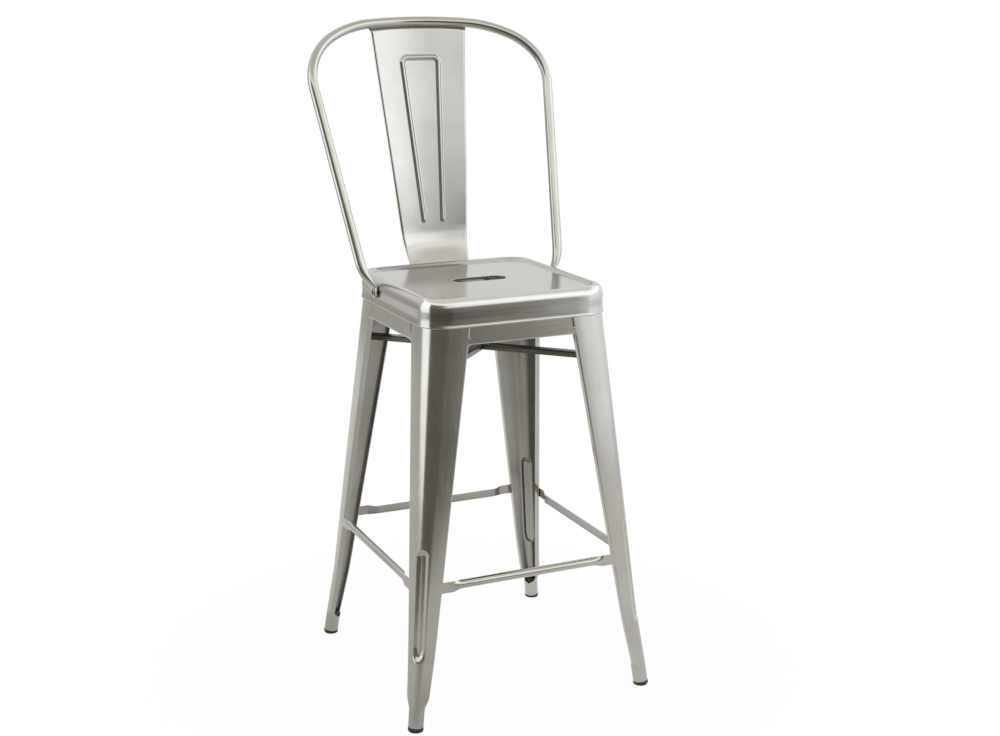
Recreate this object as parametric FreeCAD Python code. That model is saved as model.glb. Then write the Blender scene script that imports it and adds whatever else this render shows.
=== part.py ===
import FreeCAD, Part
import math
import os

# A counter-height metal stool of pressed sheet steel with a bent-tube back hoop and a sheet splat.
# Millimetres, +Z up, the stool faces -Y, and the floor is at Z = 0.

# Seat pan
seat_height = 660.0          # top of the rim above the floor
seat_width = 311.0
seat_depth = 317.0
seat_corner_radius = 43.0
seat_skirt_height = 40.0     # rim top down to the skirt's lower edge
seat_rim_radius = 11.0
seat_rim_width = 15.0        # outer edge to the start of the dished panel
seat_dish_slope = 6.0        # width of the slope from the rim down to the panel
seat_dish_depth = 4.0
seat_sheet = 1.5
hand_slot_length = 92.0
hand_slot_width = 30.0
hand_slot_lip = 9.0          # depth of the turned-down edge round the hand slot

# Legs and aprons, which stand inside the seat pan's skirt
frame_sheet = 1.5
skirt_clearance = 0.1        # between the skirt and the frame inside it
frame_tuck = 28.0            # how far the frame reaches up into the seat pan
leg_splay = 42.0             # how far a leg's outer faces move out from the skirt to the kick
leg_kick_height = 117.0      # below this height the legs flare out more
leg_face_top = 69.0          # width of a leg's face at the skirt
leg_face_kick = 32.5
leg_face_shoulder = 24.0
leg_face_end = 14.5
leg_corner_kick = 18.0
leg_lip_top = 9.0            # width of the lip folded in along a leg's free edges
leg_lip_kick = 7.0
leg_lip_shoulder = 4.5
leg_lip_end = 2.2
leg_shoulder_height = 40.0   # where a leg's faces start to narrow onto the foot tube
leg_end_height = 29.0
apron_drop = 31.0            # apron's lower edge below the skirt
apron_fillet = 16.0
apron_slit_width = 1.2
apron_slit_drop = 20.0       # slit's lower end below the skirt

# Groove pressed into each leg's outer corner
groove_top = 285.0
groove_bottom = 118.0
groove_radius = 8.0
groove_depth = 5.0
groove_dimple = 2.5          # extra depth at the groove's lower end

# Feet
foot_spread_x = 399.0        # between the feet's centres on the floor
foot_spread_y = 402.0
foot_tube_d = 24.0
foot_tube_wall = 1.8
foot_tube_start = 6.0        # along the foot's axis, from the floor
pad_d = 24.6
pad_edge = 3.0               # height at which the pad starts to round off
pad_flat_d = 13.0
pad_neck_d = 18.4            # the plug's end above the foot tube
pad_tip_d = 13.0
pad_neck_height = 12.0
pad_clearance = 0.15

# Rungs
rung_bottom = 213.0
rung_height = 17.0
rung_sheet = 2.0
rung_tab_length = 19.0
rung_round_d = 13.4          # height of the half-round stretch between the tabs

# Cross brace under the seat
brace_drop = 69.0            # brace's top below the skirt
brace_width = 18.0
brace_wall = 9.0
brace_sheet = 1.5

# Back hoop
hoop_tube_d = 16.0
hoop_tube_wall = 1.5
hoop_lean = math.radians(21.9)
hoop_base_y = 51.0           # where the sides' lines pass the bolts' level
hoop_base_drop = 28.0        # that level below the rim's top
hoop_base_half = 170.6
hoop_side_half = 210.0       # half width between the sides' tube centres at their top
hoop_side_length = 345.0
hoop_length = 456.0          # bolts' level to the top rail, along the lean
hoop_bow = 36.0              # how far the top rail bows backwards
hoop_power = 2.70            # exponent of the crown's curve
hoop_joint_length = 46.0     # along the lean, where the flattened end becomes a full tube
hoop_tab_width = 20.0
hoop_tab_thickness = 3.6
hoop_tab_length = 10.0       # tab's flat above the bolt

# Back splat
splat_sheet = 1.5
splat_foot_drop = 35.0       # lower edge, behind the seat, below the rim's top
splat_bend_drop = 8.0        # where it leaves the skirt, below the rim's top
splat_step_rise = 55.0       # top of the lower bend, above the rim's top
splat_step_back = 28.5       # how far back the lower bend goes
splat_half_foot = 53.0
splat_half_step = 60.0
splat_half_top = 86.0

# Hairpin rib pressed into the splat, its halves measured over the rib's outer edges
rib_top_rise = 340.0         # above the seat rim's top
rib_foot_rise = 62.0
rib_half_top = 38.5
rib_half_foot = 17.8
rib_width = 8.0
rib_corner = 8.0             # radius of the centreline's upper corners

# Bolts, washers and nuts
bolt_d = 8.0
bolt_head_d = 14.0
bolt_head_height = 3.5
bolt_head_round = 2.4
bolt_hole_d = 8.6
bolt_tip = 3.0               # thread beyond the nut
washer_d = 16.0
washer_thickness = 1.5
nut_width = 13.0
nut_height = 6.5
nut_play = 0.1
bolt_drop = 22.5             # bolts' axes below the rim's top
hoop_bolt_y = 56.0           # hoop bolts' axes behind the seat's middle
splat_bolt_spacing = 60.0

# Sizes worked out from the driving dimensions
skirt_z = seat_height - seat_skirt_height
frame_top = skirt_z + frame_tuck
frame_inset = seat_sheet + skirt_clearance
brace_top = skirt_z - brace_drop
apron_z = skirt_z - apron_drop
slit_z = skirt_z - apron_slit_drop
tube_r = foot_tube_d / 2
foot_x = foot_spread_x / 2
foot_y = foot_spread_y / 2
bolt_z = seat_height - bolt_drop
hoop_base_z = seat_height - hoop_base_drop
splat_foot = seat_height - splat_foot_drop
splat_bend_z = seat_height - splat_bend_drop
splat_step_z = seat_height + splat_step_rise
rib_top_z = seat_height + rib_top_rise
rib_foot_z = seat_height + rib_foot_rise
panel_z = seat_height - seat_dish_depth
up = FreeCAD.Vector(0, 0, 1)
origin = FreeCAD.Vector(0, 0, 0)


def vec(x, y, z):
    return FreeCAD.Vector(x, y, z)


def between(z, low, high, at_low, at_high):
    """Value at height z on the straight line through (low, at_low) and (high, at_high)."""
    return at_low + (at_high - at_low) * (z - low) / (high - low)


def half_size(z, seat_half, foot_half):
    """Half width over the frame's outer faces at height z."""
    top = seat_half - frame_inset
    kick = seat_half + leg_splay
    if z >= skirt_z:
        return top
    if z >= leg_kick_height:
        return between(z, leg_kick_height, skirt_z, kick, top)
    return between(z, 0, leg_kick_height, foot_half + tube_r, kick)


def half_x(z):
    return half_size(z, seat_width / 2, foot_x)


def half_y(z):
    return half_size(z, seat_depth / 2, foot_y)


def leg_face(z):
    """Width of a leg's face at height z, from its corner to its free edge."""
    if z >= skirt_z:
        return leg_face_top
    if z >= leg_kick_height:
        return between(z, leg_kick_height, skirt_z, leg_face_kick, leg_face_top)
    if z >= leg_shoulder_height:
        return between(z, leg_shoulder_height, leg_kick_height, leg_face_shoulder, leg_face_kick)
    return between(z, leg_end_height, leg_shoulder_height, leg_face_end, leg_face_shoulder)


def leg_corner(z):
    """Radius of a leg's outer corner at height z."""
    top = seat_corner_radius - frame_inset
    if z >= skirt_z:
        return top
    if z >= leg_kick_height:
        return between(z, leg_kick_height, skirt_z, leg_corner_kick, top)
    return between(z, leg_end_height, leg_kick_height, tube_r, leg_corner_kick)


def leg_lip(z):
    """Width of the lip along a leg's free edges at height z."""
    if z >= skirt_z:
        return leg_lip_top
    if z >= leg_kick_height:
        return between(z, leg_kick_height, skirt_z, leg_lip_kick, leg_lip_top)
    if z >= leg_shoulder_height:
        return between(z, leg_shoulder_height, leg_kick_height, leg_lip_shoulder, leg_lip_kick)
    return between(z, leg_end_height, leg_shoulder_height, leg_lip_end, leg_lip_shoulder)


def polygon(points):
    """Closed straight-sided face."""
    return Part.Face(Part.makePolygon(points + points[:1]))


def rounded_rectangle(half_w, half_d, radius, z):
    """Closed wire of a rounded rectangle round the Z axis."""
    cx = half_w - radius
    cy = half_d - radius
    corners = []
    for quarter, (sx, sy) in enumerate(((1, 1), (-1, 1), (-1, -1), (1, -1))):
        corner = []
        for eighth in range(3):
            angle = math.pi / 2 * quarter + math.pi / 4 * eighth
            corner.append(vec(sx * cx + radius * math.cos(angle), sy * cy + radius * math.sin(angle), z))
        corners.append(corner)
    edges = []
    for corner, following in zip(corners, corners[1:] + corners[:1]):
        edges.append(Part.Arc(*corner).toShape())
        edges.append(Part.LineSegment(corner[-1], following[0]).toShape())
    return Part.Wire(edges)


def stadium(length, width, z, height):
    """Upright solid with a slot's outline, its length along X."""
    radius = width / 2
    run = length / 2 - radius
    block = Part.makeBox(2 * run, width, height, vec(-run, -radius, z))
    for side in (-1, 1):
        block = block.fuse(Part.makeCylinder(radius, height, vec(side * run, 0, z), up))
    return block.removeSplitter()


def filleted_prism(inset, top, rim):
    """The seat's outline, moved in by inset, from the skirt's lower edge to top, with a rounded top edge."""
    outline = rounded_rectangle(seat_width / 2 - inset, seat_depth / 2 - inset,
                                seat_corner_radius - inset, skirt_z)
    block = Part.Face(outline).extrude(up * (top - skirt_z))
    rim_edges = [e for e in block.Edges if e.BoundBox.ZMin > top - seat_sheet / 2]
    return block.makeFillet(rim, rim_edges)


def dish(drop, spread):
    """Space over the dished panel, lowered by drop and widened by spread."""
    wires = []
    rise = seat_dish_slope / seat_dish_depth
    for z, inset in ((panel_z, seat_rim_width + seat_dish_slope), (seat_height, seat_rim_width),
                     (seat_height + seat_dish_depth, seat_rim_width - rise * seat_dish_depth)):
        reach = inset - spread
        wires.append(rounded_rectangle(seat_width / 2 - reach, seat_depth / 2 - reach,
                                       seat_corner_radius - reach, z - drop))
    return Part.makeLoft(wires, True, True)


def bolt_hole_x():
    """Drill along X for the two hoop bolts."""
    start = vec(-seat_width, hoop_bolt_y, bolt_z)
    return Part.makeCylinder(bolt_hole_d / 2, 2 * seat_width, start, vec(1, 0, 0))


def bolt_hole_y(x):
    """Drill along Y, through the back only, for a splat bolt."""
    return Part.makeCylinder(bolt_hole_d / 2, seat_depth, vec(x, 0, bolt_z), vec(0, 1, 0))


def splat_bolt_xs():
    return [-splat_bolt_spacing / 2, splat_bolt_spacing / 2]


def drilled(shape):
    """The shape with every bolt hole that meets it."""
    shape = shape.cut(bolt_hole_x())
    for x in splat_bolt_xs():
        shape = shape.cut(bolt_hole_y(x))
    return shape


def seat_pan():
    """Pressed pan with a rounded rim, dished panel, hand slot and skirt."""
    outer = filleted_prism(0, seat_height, seat_rim_radius).cut(dish(0, 0))
    inner = filleted_prism(seat_sheet, seat_height - seat_sheet, seat_rim_radius - seat_sheet)
    inner = inner.cut(dish(seat_sheet, seat_sheet / 2))
    pan = outer.cut(inner)
    lip_wide = stadium(hand_slot_length + 2 * seat_sheet, hand_slot_width + 2 * seat_sheet,
                       panel_z - hand_slot_lip, hand_slot_lip)
    slot = stadium(hand_slot_length, hand_slot_width, panel_z - 2 * hand_slot_lip, 4 * hand_slot_lip)
    return drilled(pan.fuse(lip_wide).cut(slot)).removeSplitter()


def leg_outline(z):
    """Closed wire of a leg's folded sheet at height z, in the corner where X and Y are positive."""
    hx = half_x(z)
    hy = half_y(z)
    face = leg_face(z)
    lip = leg_lip(z)
    radius = leg_corner(z)
    sheet = frame_sheet
    diagonal = math.sqrt(0.5)
    outside = [vec(hx - face, hy - lip, z), vec(hx - face, hy, z), vec(hx - radius, hy, z)]
    outside_end = [vec(hx, hy - radius, z), vec(hx, hy - face, z), vec(hx - lip, hy - face, z)]
    inside = [vec(hx - lip, hy - face + sheet, z), vec(hx - sheet, hy - face + sheet, z),
              vec(hx - sheet, hy - radius, z)]
    inside_end = [vec(hx - radius, hy - sheet, z), vec(hx - face + sheet, hy - sheet, z),
                  vec(hx - face + sheet, hy - lip, z)]
    centre = vec(hx - radius, hy - radius, z)
    outer_mid = centre + vec(diagonal, diagonal, 0) * radius
    inner_mid = centre + vec(diagonal, diagonal, 0) * (radius - sheet)
    edges = []
    for run, middle, following in ((outside, outer_mid, outside_end), (outside_end, None, inside),
                                   (inside, inner_mid, inside_end), (inside_end, None, outside)):
        for start, end in zip(run, run[1:]):
            edges.append(Part.LineSegment(start, end).toShape())
        if middle is None:
            edges.append(Part.LineSegment(run[-1], following[0]).toShape())
        else:
            edges.append(Part.Arc(run[-1], middle, following[0]).toShape())
    return Part.Wire(edges)


def leg_form_outline(z):
    """Closed wire round everything within a leg's outer faces at height z."""
    hx = half_x(z)
    hy = half_y(z)
    face = leg_face(z)
    radius = leg_corner(z)
    middle = vec(hx - radius, hy - radius, z) + vec(1, 1, 0) * (radius * math.sqrt(0.5))
    return Part.Wire([
        Part.LineSegment(vec(hx - face, hy, z), vec(hx - radius, hy, z)).toShape(),
        Part.Arc(vec(hx - radius, hy, z), middle, vec(hx, hy - radius, z)).toShape(),
        Part.LineSegment(vec(hx, hy - radius, z), vec(hx, hy - face, z)).toShape(),
        Part.LineSegment(vec(hx, hy - face, z), vec(hx - face, hy - face, z)).toShape(),
        Part.LineSegment(vec(hx - face, hy - face, z), vec(hx - face, hy, z)).toShape()])


def corner_point(z, outwards):
    """Point on a leg's corner line at height z, moved out along the diagonal."""
    radius = leg_corner(z)
    inset = radius * (1 - math.sqrt(0.5)) - outwards * math.sqrt(0.5)
    return vec(half_x(z) - inset, half_y(z) - inset, z)


def groove_space(extra):
    """Round-ended space of the groove in a leg's corner, with its radius made larger by extra."""
    radius = groove_radius + extra
    offset = groove_radius - groove_depth
    top = corner_point(groove_top - groove_radius, offset)
    bottom = corner_point(groove_bottom + groove_radius, offset)
    deep = corner_point(groove_bottom + groove_radius, offset - groove_dimple)
    run = top - bottom
    space = Part.makeCylinder(radius, run.Length, bottom, run)
    for centre in (top, bottom, deep):
        space = space.fuse(Part.makeSphere(radius, centre))
    return space


def leg():
    """One leg, in the corner where X and Y are positive."""
    levels = (leg_end_height, leg_shoulder_height, leg_kick_height, skirt_z, frame_top)
    sheet = Part.makeLoft([leg_outline(z) for z in levels], True, True)
    form = Part.makeLoft([leg_form_outline(z) for z in levels], True, True)
    swage = groove_space(frame_sheet).common(form)
    return sheet.fuse(swage).cut(groove_space(0)).removeSplitter()


def foot_axis():
    """Direction up the foot in the corner where X and Y are positive, in line with the leg's kick."""
    rise = vec(half_x(leg_kick_height) - tube_r - foot_x, half_y(leg_kick_height) - tube_r - foot_y,
               leg_kick_height)
    return rise.normalize()


def foot_tube():
    """Short tube that the leg's end stands on, cut level at its top."""
    axis = foot_axis()
    base = vec(foot_x, foot_y, 0)
    length = 2 * leg_end_height
    start = base + axis * foot_tube_start
    tube = Part.makeCylinder(tube_r, length, start, axis)
    tube = tube.cut(Part.makeCylinder(tube_r - foot_tube_wall, length, start, axis))
    below = Part.makeBox(8 * tube_r, 8 * tube_r, leg_end_height, base - vec(4 * tube_r, 4 * tube_r, 0))
    return tube.common(below)


def foot_pad():
    """Rubber plug: a rounded pad under the tube, a shank in it and a tapered end above it."""
    neck_start = leg_end_height + tube_r * math.sqrt(1 - foot_axis().z ** 2)
    shank_r = tube_r - foot_tube_wall - pad_clearance
    side = vec(pad_d / 2, 0, pad_edge)
    flat = vec(pad_flat_d / 2, 0, -pad_edge)
    rest = [side, vec(pad_d / 2, 0, foot_tube_start), vec(shank_r, 0, foot_tube_start),
            vec(shank_r, 0, neck_start), vec(pad_neck_d / 2, 0, neck_start),
            vec(pad_tip_d / 2, 0, neck_start + pad_neck_height), vec(0, 0, neck_start + pad_neck_height),
            vec(0, 0, -pad_edge), flat]
    edges = [arc_from(side, up * -1, flat)]
    for start, end in zip(rest, rest[1:]):
        edges.append(Part.LineSegment(start, end).toShape())
    plug = Part.Face(Part.Wire(edges)).revolve(origin, up, 360)
    plug.Placement = FreeCAD.Placement(vec(foot_x, foot_y, 0), FreeCAD.Rotation(up, foot_axis()))
    floor = Part.makeBox(8 * pad_d, 8 * pad_d, pad_d, vec(foot_x - 4 * pad_d, foot_y - 4 * pad_d, -pad_d))
    return plug.cut(floor)


def corner_arc(corner, along, back, radius):
    """Start, middle and end of the arc that rounds a corner between two unit directions."""
    half_angle = along.getAngle(back) / 2
    reach = radius / math.tan(half_angle)
    bisector = (along + back).normalize()
    middle = corner + bisector * (radius / math.sin(half_angle) - radius)
    return corner + along * reach, middle, corner + back * reach


def apron(run_half, out_half):
    """Band between two legs, its length along X and its outer face towards +Y.

    run_half and out_half give the frame's half sizes along and across the band at a height.
    """
    def edge(z):
        return run_half(z) - leg_face(z)

    low = apron_z - 2 * apron_fillet
    section = [(out_half(frame_top), frame_top), (out_half(skirt_z), skirt_z), (out_half(low), low)]
    outside = [vec(-seat_width, y, z) for y, z in section]
    inside = [vec(-seat_width, y - frame_sheet, z) for y, z in reversed(section)]
    band = polygon(outside + inside).extrude(vec(2 * seat_width, 0, 0))
    corner = vec(edge(apron_z), 0, apron_z)
    down = vec(edge(low) - edge(apron_z), 0, low - apron_z).normalize()
    fillet = corner_arc(corner, down, vec(-1, 0, 0), apron_fillet)
    right = [vec(edge(frame_top) - apron_slit_width, 0, frame_top),
             vec(edge(skirt_z) - apron_slit_width, 0, skirt_z),
             vec(edge(slit_z) - apron_slit_width, 0, slit_z), vec(edge(slit_z), 0, slit_z), fillet[0]]
    left = [vec(-p.x, p.y, p.z) for p in right]
    edges = [Part.LineSegment(left[0], right[0]).toShape()]
    for start, end in zip(right, right[1:]):
        edges.append(Part.LineSegment(start, end).toShape())
    mirrored = [vec(-p.x, p.y, p.z) for p in reversed(fillet)]
    edges.append(Part.Arc(*fillet).toShape())
    edges.append(Part.LineSegment(fillet[2], mirrored[0]).toShape())
    edges.append(Part.Arc(*mirrored).toShape())
    for start, end in zip(reversed(left), list(reversed(left))[1:]):
        edges.append(Part.LineSegment(start, end).toShape())
    outline = Part.Face(Part.Wire(edges)).extrude(vec(0, 2 * seat_depth, 0))
    return band.common(outline)


def rung(run_half, out_half):
    """Foot rail between two legs, its length along X and its outer face towards +Y.

    The end tabs lie flush with the legs' outer faces, and the stretch between them is a half-round channel.
    """
    base = vec(0, out_half(rung_bottom), rung_bottom)
    rise = vec(0, out_half(rung_bottom + rung_height) - base.y, rung_height).normalize()
    inwards = vec(1, 0, 0).cross(rise)

    def at(x, depth, height):
        return vec(x, 0, 0) + base + inwards * depth + rise * height

    def edge(z):
        return run_half(z) - leg_face(z)

    edge_low = edge(rung_bottom)
    edge_high = edge(at(0, 0, rung_height).z)
    round_half = edge_high - rung_tab_length
    outer = rung_round_d / 2
    inner = outer - rung_sheet
    middle = rung_height / 2
    start = -round_half
    low = at(start, outer, middle - outer)
    high = at(start, outer, middle + outer)
    low_inside = at(start, outer, middle - inner)
    high_inside = at(start, outer, middle + inner)
    section = Part.Wire([
        Part.Arc(low, at(start, 0, middle), high).toShape(),
        Part.LineSegment(high, high_inside).toShape(),
        Part.Arc(high_inside, at(start, rung_sheet, middle), low_inside).toShape(),
        Part.LineSegment(low_inside, low).toShape()])
    rail = Part.Face(section).extrude(vec(2 * round_half, 0, 0))
    for side in (-1, 1):
        overlap = round_half - rung_sheet
        tab = polygon([at(side * overlap, 0, 0), at(side * edge_low, 0, 0),
                       at(side * edge_high, 0, rung_height), at(side * overlap, 0, rung_height)])
        rail = rail.fuse(tab.extrude(inwards * rung_sheet))
    return rail.removeSplitter()


def largest(shape):
    """The largest solid of a cut shape."""
    return max(shape.Solids, key=lambda solid: solid.Volume)


def diagonal_block(side, width, low, high):
    """Block along one diagonal under the seat, from low to high about the brace's top."""
    reach = vec(half_x(brace_top), side * half_y(brace_top), 0)
    length = 2 * reach.Length
    block = Part.makeBox(length, width, high - low, vec(-length / 2, -width / 2, low))
    block.Placement = FreeCAD.Placement(vec(0, 0, brace_top), FreeCAD.Rotation(vec(1, 0, 0), reach))
    return block


def brace_bar(side, legs):
    """Inverted channel from leg to leg along one diagonal, cut to the legs' inner faces."""
    bar = diagonal_block(side, brace_width, -brace_wall, 0)
    bar = bar.cut(diagonal_block(side, brace_width - 2 * brace_sheet, -2 * brace_wall, -brace_sheet))
    for piece in legs:
        bar = largest(bar.cut(piece))
    return bar


def brace_envelope(side):
    """Block round the full-length bar, which the crossing bar is cut to."""
    return diagonal_block(side, brace_width, -2 * brace_wall, brace_wall)


def hoop_point(half, length, back):
    """Point on the hoop's leaning plane: half width, length along the lean and bow backwards."""
    return vec(half, hoop_base_y + length * math.sin(hoop_lean) + back,
               hoop_base_z + length * math.cos(hoop_lean))


def crown_point(angle):
    """Point on the crown's curve, from a side's top at angle 0 to the top rail's middle at a right angle."""
    half = hoop_side_half * abs(math.cos(angle)) ** (2 / hoop_power)
    length = hoop_side_length + (hoop_length - hoop_side_length) * math.sin(angle) ** (2 / hoop_power)
    return hoop_point(half, length, hoop_bow * (1 - (half / hoop_side_half) ** 2))


def arc_from(start, tangent, end):
    """Circular arc from start, along tangent, to end."""
    chord = end - start
    along = vec(chord.x, chord.y, chord.z).normalize()
    aside = tangent - along * tangent.dot(along)
    rise = chord.Length / 2 * math.tan(tangent.getAngle(along) / 2)
    return Part.Arc(start, (start + end) * 0.5 + aside.normalize() * rise, end).toShape()


def two_arcs(start, start_tangent, end, end_tangent):
    """Two arcs that join smoothly and leave start and reach end along the given directions."""
    chord = end - start
    both = start_tangent + end_tangent
    turn = 2 * (1 - start_tangent.dot(end_tangent))
    share = chord.dot(both)
    reach = (math.sqrt(share ** 2 + turn * chord.dot(chord)) - share) / turn
    joint = (start + end + (start_tangent - end_tangent) * reach) * 0.5
    return [arc_from(start, start_tangent, joint), arc_from(end, end_tangent * -1, joint)]


def hoop_side_direction():
    side = hoop_point(hoop_side_half, hoop_side_length, 0) - hoop_point(hoop_base_half, 0, 0)
    return side.normalize()


def hoop_joint():
    """Where the flattened end has become a full round tube."""
    return hoop_point(hoop_base_half, 0, 0) + hoop_side_direction() * hoop_joint_length


def hoop_path():
    """Wire of the tube's centreline from the right-hand joint over the crown to the left-hand one."""
    rise = hoop_side_direction()
    shoulder = hoop_point(hoop_side_half, hoop_side_length, 0)
    angle = math.pi / 4
    small = math.pi / 180
    quarter = crown_point(angle)
    quarter_way = (crown_point(angle + small) - crown_point(angle - small)).normalize()
    top = crown_point(math.pi / 2)
    top_way = vec(-1, 0, 0)
    edges = [Part.LineSegment(hoop_joint(), shoulder).toShape()]
    edges += two_arcs(shoulder, rise, quarter, quarter_way)
    edges += two_arcs(quarter, quarter_way, top, top_way)
    left = [edge.mirror(origin, vec(1, 0, 0)) for edge in reversed(edges)]
    return Part.Wire(Part.__sortEdges__(edges + left))


def swept_tube(radius):
    """Round bar of the given radius along the hoop's path."""
    ring = Part.Wire(Part.makeCircle(radius, hoop_joint(), hoop_side_direction()))
    return hoop_path().makePipeShell([ring], True, False)


def ellipse_wire(centre, way, across, wide, thick):
    """Ellipse round centre, square to way, with its width along across."""
    ring = Part.Ellipse(origin, wide / 2, thick / 2).toShape()
    ring.Placement = FreeCAD.Placement(centre, FreeCAD.Rotation(across, across.cross(way) * -1, way, "ZXY"))
    return Part.Wire(ring)


def hoop_end():
    """Right-hand end of the hoop: a flat tab on the seat's skirt that opens out into the tube."""
    tab_r = hoop_tab_width / 2
    lean = vec(0, math.sin(hoop_lean), math.cos(hoop_lean))
    across = vec(0, math.cos(hoop_lean), -math.sin(hoop_lean))
    thick = vec(hoop_tab_thickness, 0, 0)
    bolt = vec(seat_width / 2, hoop_bolt_y, bolt_z)
    flat_top = bolt + lean * hoop_tab_length
    tab = polygon([bolt - across * tab_r, bolt + across * tab_r,
                   flat_top + across * tab_r, flat_top - across * tab_r]).extrude(thick)
    tab = tab.fuse(Part.makeCylinder(tab_r, hoop_tab_thickness, bolt, thick))
    start = flat_top + thick * 0.5
    joint = hoop_joint()
    middle_wide = (hoop_tab_width + hoop_tube_d) / 2
    middle_thick = (hoop_tab_thickness + hoop_tube_d) / 2
    rings = [ellipse_wire(start, lean, across, hoop_tab_width, hoop_tab_thickness),
             ellipse_wire((start + joint) * 0.5, joint - start, across, middle_wide, middle_thick),
             ellipse_wire(joint, hoop_side_direction(), across, hoop_tube_d, hoop_tube_d)]
    return tab.fuse(Part.makeLoft(rings, True, False))


def back_hoop():
    """Bent tube with flattened ends that are bolted to the seat's sides."""
    tube = swept_tube(hoop_tube_d / 2).cut(swept_tube(hoop_tube_d / 2 - hoop_tube_wall))
    end = hoop_end()
    hoop = tube.fuse([end, end.mirror(origin, vec(1, 0, 0))])
    return hoop.cut(bolt_hole_x()).removeSplitter()


def splat_corner():
    """Point on the top rail's centreline above the splat's top corner."""
    return crown_point(math.acos((splat_half_top / hoop_side_half) ** (hoop_power / 2)))


def splat_front(z):
    """Y of the splat's front face in the middle, at height z."""
    seat_back = seat_depth / 2
    top = crown_point(math.pi / 2)
    step_y = seat_back + splat_step_back
    slope = (top.y - splat_sheet / 2 - step_y) / (top.z - splat_step_z)
    if z <= splat_bend_z:
        return seat_back
    if z >= splat_step_z:
        return step_y + slope * (z - splat_step_z)
    rise = splat_step_z - splat_bend_z
    part = (z - splat_bend_z) / rise
    return seat_back + splat_step_back * part ** 2 * (3 - 2 * part) + slope * rise * part ** 2 * (part - 1)


def splat_half(z):
    """Half the splat's width at height z."""
    if z <= splat_bend_z:
        return splat_half_foot
    if z <= splat_step_z:
        return between(z, splat_bend_z, splat_step_z, splat_half_foot, splat_half_step)
    return between(z, splat_step_z, splat_corner().z, splat_half_step, splat_half_top)


def splat_bow(z):
    """How far the splat's middle lies behind its edges at height z, more towards the top."""
    corner = splat_corner()
    return max(0, between(z, splat_step_z, corner.z, 0, crown_point(math.pi / 2).y - corner.y))


def splat_outline(z, forward=0):
    """Closed wire of the splat's section at height z, with its front face moved forward."""
    half = splat_half(z)
    middle = splat_front(z)
    bow = splat_bow(z)
    curves = []
    for y in (middle - forward, middle + splat_sheet):
        bend = Part.BezierCurve()
        bend.setPoles([vec(-half, y - bow, z), vec(0, y + bow, z), vec(half, y - bow, z)])
        curves.append(bend)
    front, rear = curves
    right = Part.LineSegment(front.EndPoint, rear.EndPoint)
    left = Part.LineSegment(rear.StartPoint, front.StartPoint)
    return Part.Wire(Part.__sortEdges__([curve.toShape() for curve in (front, right, rear, left)]))


def rib_point(half, z):
    """Point in the middle of the splat's sheet, for the rib's centreline."""
    bow = splat_bow(z) * (half / splat_half(z)) ** 2
    return vec(half, splat_front(z) - bow + splat_sheet / 2, z)


def rib_bar(radius):
    """Round-ended bar along the hairpin rib's centreline."""
    inset = rib_width / 2
    foot = rib_point(rib_half_foot - inset, rib_foot_z + inset)
    top = rib_point(rib_half_top - inset, rib_top_z - inset)
    down = (foot - top).normalize()
    bend = corner_arc(top, down, vec(-1, 0, 0), rib_corner)
    half = [Part.LineSegment(foot, bend[0]).toShape(), Part.Arc(*bend).toShape()]
    across = Part.LineSegment(bend[2], vec(-bend[2].x, bend[2].y, bend[2].z)).toShape()
    left = [edge.mirror(origin, vec(1, 0, 0)) for edge in reversed(half)]
    path = Part.Wire(Part.__sortEdges__(half + [across] + left))
    bar = path.makePipeShell([Part.Wire(Part.makeCircle(radius, foot, down))], True, False)
    ends = [Part.makeSphere(radius, vec(side * foot.x, foot.y, foot.z)) for side in (-1, 1)]
    return bar.fuse(ends)


def back_splat():
    """Pressed sheet from behind the seat up to the underside of the top rail, to which it is welded."""
    top = splat_corner().z
    foot = Part.makeLoft([splat_outline(splat_foot), splat_outline(splat_bend_z)], True, True)
    bend_steps = 4
    levels = [between(i, 0, bend_steps, splat_bend_z, splat_step_z) for i in range(bend_steps + 1)]
    bend = Part.makeLoft([splat_outline(z) for z in levels], True, False)
    upper = Part.makeLoft([splat_outline(splat_step_z), splat_outline(top)], True, True)
    front_space = Part.makeLoft([splat_outline(z, rib_width) for z in (splat_step_z, top)], True, True)
    rib = rib_bar(rib_width / 2).common(front_space)
    sheet = foot.fuse([bend, upper, rib]).cut(rib_bar(rib_width / 2 - splat_sheet))
    return drilled(largest(sheet.cut(swept_tube(hoop_tube_d / 2))))


def bolt(grip):
    """Round-headed bolt on the Z axis: its head stands on Z = 0 and its shank goes down through grip."""
    head = Part.makeCylinder(bolt_head_d / 2, bolt_head_height)
    top_edges = [e for e in head.Edges if e.BoundBox.ZMin > bolt_head_height / 2]
    head = head.makeFillet(bolt_head_round, top_edges)
    length = grip + washer_thickness + nut_height + bolt_tip
    return head.fuse(Part.makeCylinder(bolt_d / 2, length, vec(0, 0, -length))).removeSplitter()


def washer(grip):
    base = vec(0, 0, -grip - washer_thickness)
    return Part.makeCylinder(washer_d / 2, washer_thickness, base).cut(
        Part.makeCylinder(bolt_hole_d / 2, washer_thickness, base))


def nut(grip):
    base = -grip - washer_thickness - nut_height
    corner_r = nut_width / math.sqrt(3)
    points = []
    for i in range(6):
        points.append(vec(corner_r * math.cos(math.pi / 3 * i), corner_r * math.sin(math.pi / 3 * i), base))
    block = polygon(points).extrude(up * nut_height)
    return block.cut(Part.makeCylinder(bolt_d / 2 + nut_play, nut_height, vec(0, 0, base)))


def fasteners(prefix, seats, grip):
    """Bolts, washers and nuts at each (point, outward direction), a group of each."""
    groups = {}
    for name, make in (("bolts", bolt), ("washers", washer), ("nuts", nut)):
        pieces = []
        for point, outwards in seats:
            piece = make(grip)
            piece.Placement = FreeCAD.Placement(point, FreeCAD.Rotation(up, outwards))
            pieces.append(piece)
        groups[prefix + "_" + name] = Part.makeCompound(pieces)
    return groups


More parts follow.
